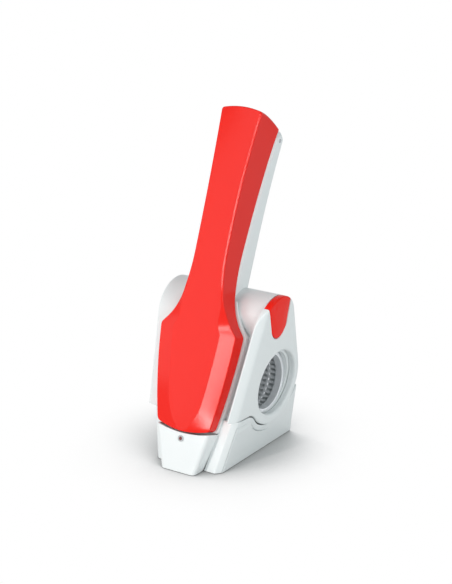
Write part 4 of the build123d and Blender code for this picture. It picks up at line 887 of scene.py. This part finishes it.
def wing_line(depth, below):
    """Height of the line inside the wing's outline at a distance: the lowest of front, wave and back."""
    back_top = wave(np.array(WING_BACK[0]))
    back_lean = (WING_BACK[1] - WING_BACK[0]) / (back_top - DOCK_FLOOR)
    slope = np.gradient(wave(depth[:, 0]), depth[:, 0])[:, None]
    front = DOCK_FLOOR + (depth - WING_FRONT[0] - below * math.hypot(1.0, FRONT_LEAN)) / FRONT_LEAN
    back = DOCK_FLOOR + (WING_BACK[1] - depth - below * math.hypot(1.0, back_lean)) / back_lean
    over = np.minimum(wave(depth) - below * np.hypot(1.0, slope), back)
    return np.maximum(soft_min(front, over, CORNER_BLEND + CORNER_GROWTH * below), DOCK_FLOOR)


print("wave at the hump and below the drum:", wave(np.array([HUMP[0], DRUM[0]])).round(1).tolist())

# %% [markdown]
# The outside of a wing leans in towards the table, and the crease is a narrow notch in it that dies out
# where the wall follows the drum. A groove could be cut with a Boolean, but a notch that is part of the
# half width's formula leaves clean rows of faces.

# %% Cradle, outside of the wings
DOCK_TAPER, WALL_BEVEL, WALL_SOFTNESS = math.tan(math.radians(12.5)), 5.0, 0.8
CREASE_BELOW, CREASE_DEEP, CREASE_HALF, CREASE_FADE = 5.2, 2.0, 0.6, (80.0, 95.0)
EDGE_ROUND = 0.6


def wing_half(depth, height, below):
    """Half width of the cradle: tapered wall, less a front bevel, a round edge and a V-shaped crease."""
    wall = HALF_WIDTH - (HALF_WIDTH_HEIGHT - WAVE_FRONT) * SIDE_TAPER - (WAVE_FRONT - height) * DOCK_TAPER
    behind = (depth - WING_FRONT[0] - FRONT_LEAN * (height - DOCK_FLOOR)) / math.hypot(1.0, FRONT_LEAN)
    notch = np.clip(1.0 - np.abs(below - CREASE_BELOW) / CREASE_HALF, 0.0, 1.0)
    crease = CREASE_DEEP * (1.0 - ease(depth, *CREASE_FADE)) * notch
    return soft_min(wall, wall - WALL_BEVEL + behind, WALL_SOFTNESS) - rounding(below, EDGE_ROUND) - crease


# %% [markdown]
# Inside the cradle is the seat for the grater's foot. It is open in front, where a narrow slot stays
# free on each side of the tongue, and it ends behind in the hollow round the drum.

# %% Cradle, sections from front to back
SEAT_HALF, SEAT_SILL, SEAT_RAMP, SEAT_BACK = 44.6, 36.5, 0.376, DRUM[0] - 13.7
RAMP_DEPTH, RAMP_HEIGHT, MOUTH_RUN, LEDGE = 30.6, 46.0, 0.8, 1.0
TONGUE_FOOT_HALF, TONGUE_TOP_HALF, TONGUE_TOP = 18.2, 28.4, 40.0
SLOT_GAP, SLOT_BACK = 1.1, 26.5
MARGIN, LOWER_LINES, WALL_LINES = (1.5, 4.0), (6.5, 8.0), 24
FRONT_ZONE, BACK_ZONE = 6.0, 4.0
FRONT_ROWS, MIDDLE_ROWS, BACK_ROWS = 60, 170, 30


def cradle_lines():
    """Distances of the lines inside the edge: over its rounding, on the margin, across the crease, below."""
    over_edge = EDGE_ROUND * np.linspace(0.0, 1.0, 5) ** 2
    crease = CREASE_BELOW + CREASE_HALF * np.linspace(-1.0, 1.0, 7)
    return np.concatenate([over_edge, np.linspace(*MARGIN, 4), crease, LOWER_LINES])


def cradle_depths():
    """Depths of the sections, closer together at the leaning front and at the back."""
    front = np.linspace(WING_FRONT[0], WING_FRONT[1] + FRONT_ZONE, FRONT_ROWS)
    back = np.linspace(WING_BACK[0] - BACK_ZONE, WING_BACK[1], BACK_ROWS)
    return np.concatenate([front, np.linspace(front[-1], back[0], MIDDLE_ROWS)[1:-1], back])


def cradle():
    """Closed loops across the width, front to back: right wall up, over the edge, seat, left wall down."""
    depth, lines = cradle_depths(), cradle_lines()[::-1]
    upper = wing_line(depth[:, None], lines[None, :])
    lower = DOCK_FLOOR + (upper[:, :1] - DOCK_FLOOR) * np.linspace(0.0, 1.0, WALL_LINES)[None, :-1]
    height = np.concatenate([lower, upper], axis=1)
    below = np.concatenate([np.full(lower.shape[1], 2.0 * lines[0]), lines])
    half = wing_half(depth[:, None], height, below[None, :])
    top = height[:, -1]
    sill = np.minimum(np.minimum(top, SEAT_SILL), RAMP_HEIGHT - SEAT_RAMP * (depth - RAMP_DEPTH))
    sill = np.where(depth > SEAT_BACK, top, np.where(depth < SLOT_BACK, DOCK_FLOOR, sill))
    slot = TONGUE_FOOT_HALF + (TONGUE_TOP_HALF - TONGUE_FOOT_HALF) * top / TONGUE_TOP + SLOT_GAP
    mouth = slot + (SEAT_HALF - slot) * ease(depth, RAMP_DEPTH - MOUTH_RUN, RAMP_DEPTH)
    ledge = np.minimum(mouth, half[:, -1] - LEDGE)[:, None]
    middle = np.zeros((len(depth), 1))
    across = np.concatenate([middle, half, ledge, ledge, middle], axis=1)
    up = np.concatenate([height[:, :1], height, top[:, None], sill[:, None], sill[:, None]], axis=1)
    across = np.concatenate([across, -across[:, -2::-1]], axis=1)
    up = np.concatenate([up, up[:, -2::-1]], axis=1)
    return from_side(across, depth[:, None], up)


cradle_grid = cradle()
print("cradle:", cradle_grid.shape[0], "loops of", cradle_grid.shape[1], "points")

# %% [markdown]
# The tongue leans back with the lever. Its sides spread upwards, its front edges are well rounded,
# and its top edge is bowed as the lever's foot is, a thin lip round a sunk middle. It could be part of
# the cradle's sections, but it leans and they stand upright, so it is a loop carried up the lean.

# %% Tongue
TONGUE_RISE, TONGUE_BACK, TONGUE_ROUND, TONGUE_EDGE = 4.14, -22.0, 4.5, 0.8
TONGUE_LIP, TONGUE_SINK, TONGUE_SET_BACK = 1.2, 4.0, 0.2
TONGUE_ROWS, ROW_CROWDING = 60, 1.5


def tongue():
    """Closed loops of width and level, from the floor up to the bowed top edge, over a lip and down."""
    share = 1.0 - (1.0 - np.linspace(0.0, 1.0, TONGUE_ROWS)) ** ROW_CROWDING
    station = share * TONGUE_TOP
    half = TONGUE_FOOT_HALF + (TONGUE_TOP_HALF - TONGUE_FOOT_HALF) * share
    front = TONGUE_RISE * share - TONGUE_SET_BACK - rounding(TONGUE_TOP - station, TONGUE_EDGE)
    ring = [(half, TONGUE_BACK), (half, front), (-half, front), (-half, TONGUE_BACK)]
    corners = sections(ring, TONGUE_ROWS)
    loops = bent_path(corners, [0, TONGUE_ROUND, TONGUE_ROUND, 0], [8, 20, 8, 10], bend=10)
    width, level = loops[..., 0], loops[..., 1]
    bottom = (DOCK_FLOOR - level * math.sin(LEAN)) / math.cos(LEAN)
    top = TONGUE_TOP - FOOT_BOW * (1.0 - (width / TONGUE_TOP_HALF) ** 2)
    place = bottom + share[:, None] * (top - bottom)
    ahead = np.clip((level - TONGUE_BACK) / (front[:, None] - TONGUE_BACK), 0.0, 1.0)
    level = level + TONGUE_RISE * (place / TONGUE_TOP - share[:, None]) * ahead
    lip_width = width[-1:] * (1.0 - TONGUE_LIP / TONGUE_TOP_HALF)
    lip_level = TONGUE_BACK + (level[-1:] - TONGUE_BACK) * (1.0 - TONGUE_LIP / (TONGUE_RISE - TONGUE_BACK))
    return from_lean(
        np.concatenate([width, lip_width, lip_width]),
        np.concatenate([place, place[-1:], place[-1:] - TONGUE_SINK]),
        np.concatenate([level, lip_level, lip_level]),
    )


tongue_grid = tongue()
dock_grids = [cradle_grid, tongue_grid, ladder(tongue_grid[0, :-1]), ladder(tongue_grid[-1, :-1])]
piece("dock_cradle", dock_grids, "dock", finishes["white_plastic"], "dock_shell", crease=28.0)

# %% [markdown]
# ## Camera
#
# The photograph looks down at the object from its front right. A camera could be matched to it by eye,
# but the angle, the distance and the focal length pull against each other, so they were solved from
# edges whose place on the object is known.

# %% Camera at the photograph's angle
VIEW_TURN, VIEW_RISE, VIEW_DISTANCE = 33.5, 18.5, 1.458
VIEW_TARGET = Vector((0.0039, 0.0001, 0.150))
LENS, SENSOR = 99.86, 36.0


def look_from(thing, target, turn, rise, distance, roll=0.0):
    """Puts a camera or lamp at a turn from the front and a rise, looking at its target.

    The direction from the target is (sin turn·cos rise, −cos turn·cos rise, sin rise).
    """
    turn, rise = math.radians(turn), math.radians(rise)
    away = Vector((math.sin(turn) * math.cos(rise), -math.cos(turn) * math.cos(rise), math.sin(rise)))
    thing.location = target + away * distance
    thing.rotation_mode = "QUATERNION"
    thing.rotation_quaternion = (-away).to_track_quat("-Z", "Y") @ Quaternion((0, 0, 1), math.radians(roll))
    bpy.context.scene.collection.objects.link(thing)


camera = bpy.data.objects.new("camera", bpy.data.cameras.new("camera"))
camera.data.lens, camera.data.sensor_width = LENS, SENSOR
look_from(camera, VIEW_TARGET, VIEW_TURN, VIEW_RISE, VIEW_DISTANCE)
bpy.context.scene.camera = camera
print("camera at", [round(v, 3) for v in camera.location])

# %% [markdown]
# ## Floor and background
# A catalogue picture has a white background and a soft shadow under the object. More light would make
# the floor white, but it would bleach the object too. Instead the floor and the sky turn white for the
# rays that see them, and the floor does so only where it is open: near the object, where less of the
# sky reaches it, it stays a lit floor and keeps its real shadow. There its colour is also darkened by
# ambient occlusion, a painted shadow that deepens the soft shadow round the base.

# %% Floor
FLOOR_HALF, FLOOR_STEPS, FLOOR_DROP = 3.0, 13, 0.0002
# The second colour is a painted shadow: the floor's colour where ambient occlusion finds the object close.
FLOOR_COLOUR, PAINTED_SHADE_COLOUR = (0.90, 0.895, 0.89, 1.0), (0.32, 0.315, 0.31, 1.0)
SHADE_REACH, SHADE_START, SHADE_END, SHADE_SAMPLES = 0.11, 0.42, 0.97, 16
FLOOR_ROUGH = 0.9

bpy.context.scene.view_settings.view_transform = "Standard"
steps = np.linspace(-FLOOR_HALF, FLOOR_HALF, FLOOR_STEPS)
floor_grid = np.stack([*np.meshgrid(steps, steps, [-FLOOR_DROP], indexing="ij")], axis=-1)
floor_mesh = bpy.data.meshes.new("floor")
floor_faces = grid_faces(FLOOR_STEPS, FLOOR_STEPS).reshape(-1, 4)
floor_mesh.from_pydata(floor_grid.reshape(-1, 3).tolist(), [], floor_faces.tolist())
floor = bpy.data.objects.new("floor", floor_mesh)
bpy.context.scene.collection.objects.link(floor)

floor_white = Finish("floor_white", None)
open_sky = floor_white.node(
    "ShaderNodeAmbientOcclusion",
    {"samples": SHADE_SAMPLES},
    {"Distance": SHADE_REACH},
    out="AO",
)
# Painted shadow: the floor's base colour darkens towards the shade colour where ambient occlusion finds the
# object near.
floor_white.shade(
    Base_Color=floor_white.mix(open_sky, PAINTED_SHADE_COLOUR, FLOOR_COLOUR),
    Roughness=FLOOR_ROUGH,
    Specular_IOR_Level=0.0,
)
# Near the object the white for seen rays fades out, so the lit floor shows there with its real shadow and
# the painted one.
open_share = floor_white.node(
    "ShaderNodeMapRange",
    {"interpolation_type": "SMOOTHSTEP"},
    {"Value": open_sky, "From Min": SHADE_START, "From Max": SHADE_END},
    out="Result",
)
floor_mesh.materials.append(floor_white.material)
print("floor:", len(floor_faces), "faces")

# %% [markdown]
# The Light Path node says what kind of ray asks. A value of 1 for the camera, for a mirror or for glass
# means that the surface is seen, and all other rays, which carry light, get the plain shader.

# %% White for the rays that see it
WHITE = (1.0, 1.0, 1.0, 1.0)
SKY_COLOUR, SKY_STRENGTH = (0.87, 0.97, 1.0, 1.0), 0.44


def white_when_seen(graph, plain, white_kind, output, share=1.0):
    """Mixes a plain shader with white of strength 1 that only camera, mirror and glass rays see."""
    kinds = ("Is Camera Ray", "Is Glossy Ray", "Is Transmission Ray")
    by_camera, in_mirror, through_glass = (graph.node("ShaderNodeLightPath", out=kind) for kind in kinds)
    seen = 1.0 - (1.0 - by_camera) * (1.0 - in_mirror) * (1.0 - through_glass)
    white = graph.node(white_kind, None, {"Color": WHITE})
    plain = Socket(graph, plain.outputs[0])
    mixed = graph.node("ShaderNodeMixShader", None, {0: seen * share, 1: plain, 2: white})
    graph.put(graph.tree.nodes[output].inputs["Surface"], mixed)


world = bpy.data.worlds.new("studio")
world.use_nodes = True
sky = Graph(world.node_tree)
plain_sky = world.node_tree.nodes["Background"]
sky.put(plain_sky.inputs["Color"], SKY_COLOUR)
sky.put(plain_sky.inputs["Strength"], SKY_STRENGTH)
white_when_seen(sky, plain_sky, "ShaderNodeBackground", "World Output")
white_when_seen(floor_white, floor_white.shader, "ShaderNodeEmission", "Material Output", open_share)
bpy.context.scene.world = world
print("white for seen rays: sky and floor")

# %% [markdown]
# ## Lamps
#
# Glossy plastic shows its shape by what it mirrors. A ready-made studio sky could light it, but lamps
# that are placed one by one put the highlights where the photograph has them. A tall narrow lamp stands
# where the lever's right facet mirrors it, and weaker ones where its foot, its front and its left edge
# do. A broad lamp lights the right side. The front lamps are a little warmer than the sky, so that
# whites facing them stay neutral and the sides turn slightly blue, as in the picture.

# %% Lamps
AIM = Vector((0.0, 0.0, 0.15))
WARM, NEUTRAL = (1.0, 0.96, 0.945), (1.0, 1.0, 1.0)


def lamp(name, turn, rise, distance, size, power, colour, roll=0.0):
    """A soft rectangular lamp aimed at the object, placed by its turn from the front and its rise."""
    made = bpy.data.objects.new(name, bpy.data.lights.new(name, "AREA"))
    made.data.shape = "RECTANGLE"
    made.data.size, made.data.size_y = size
    made.data.energy, made.data.color = power, colour
    look_from(made, AIM, turn, rise, distance, roll)
    print(f"{name}: {power} W at {turn} degrees")


lamp("facet_strip", -10.5, 16.5, 1.6, (0.11, 1.20), 9.7, WARM, -9.5)
lamp("foot_strip", -16.0, -2.7, 1.6, (0.22, 0.14), 2.0, WARM)
lamp("panel_strip", -33.0, 20.0, 1.6, (0.26, 1.30), 2.1, WARM)
lamp("edge_strip", -53.0, 16.0, 1.6, (0.34, 1.10), 2.1, WARM)
lamp("right_box", 64.0, 14.0, 1.8, (0.8, 0.8), 11.3, NEUTRAL)
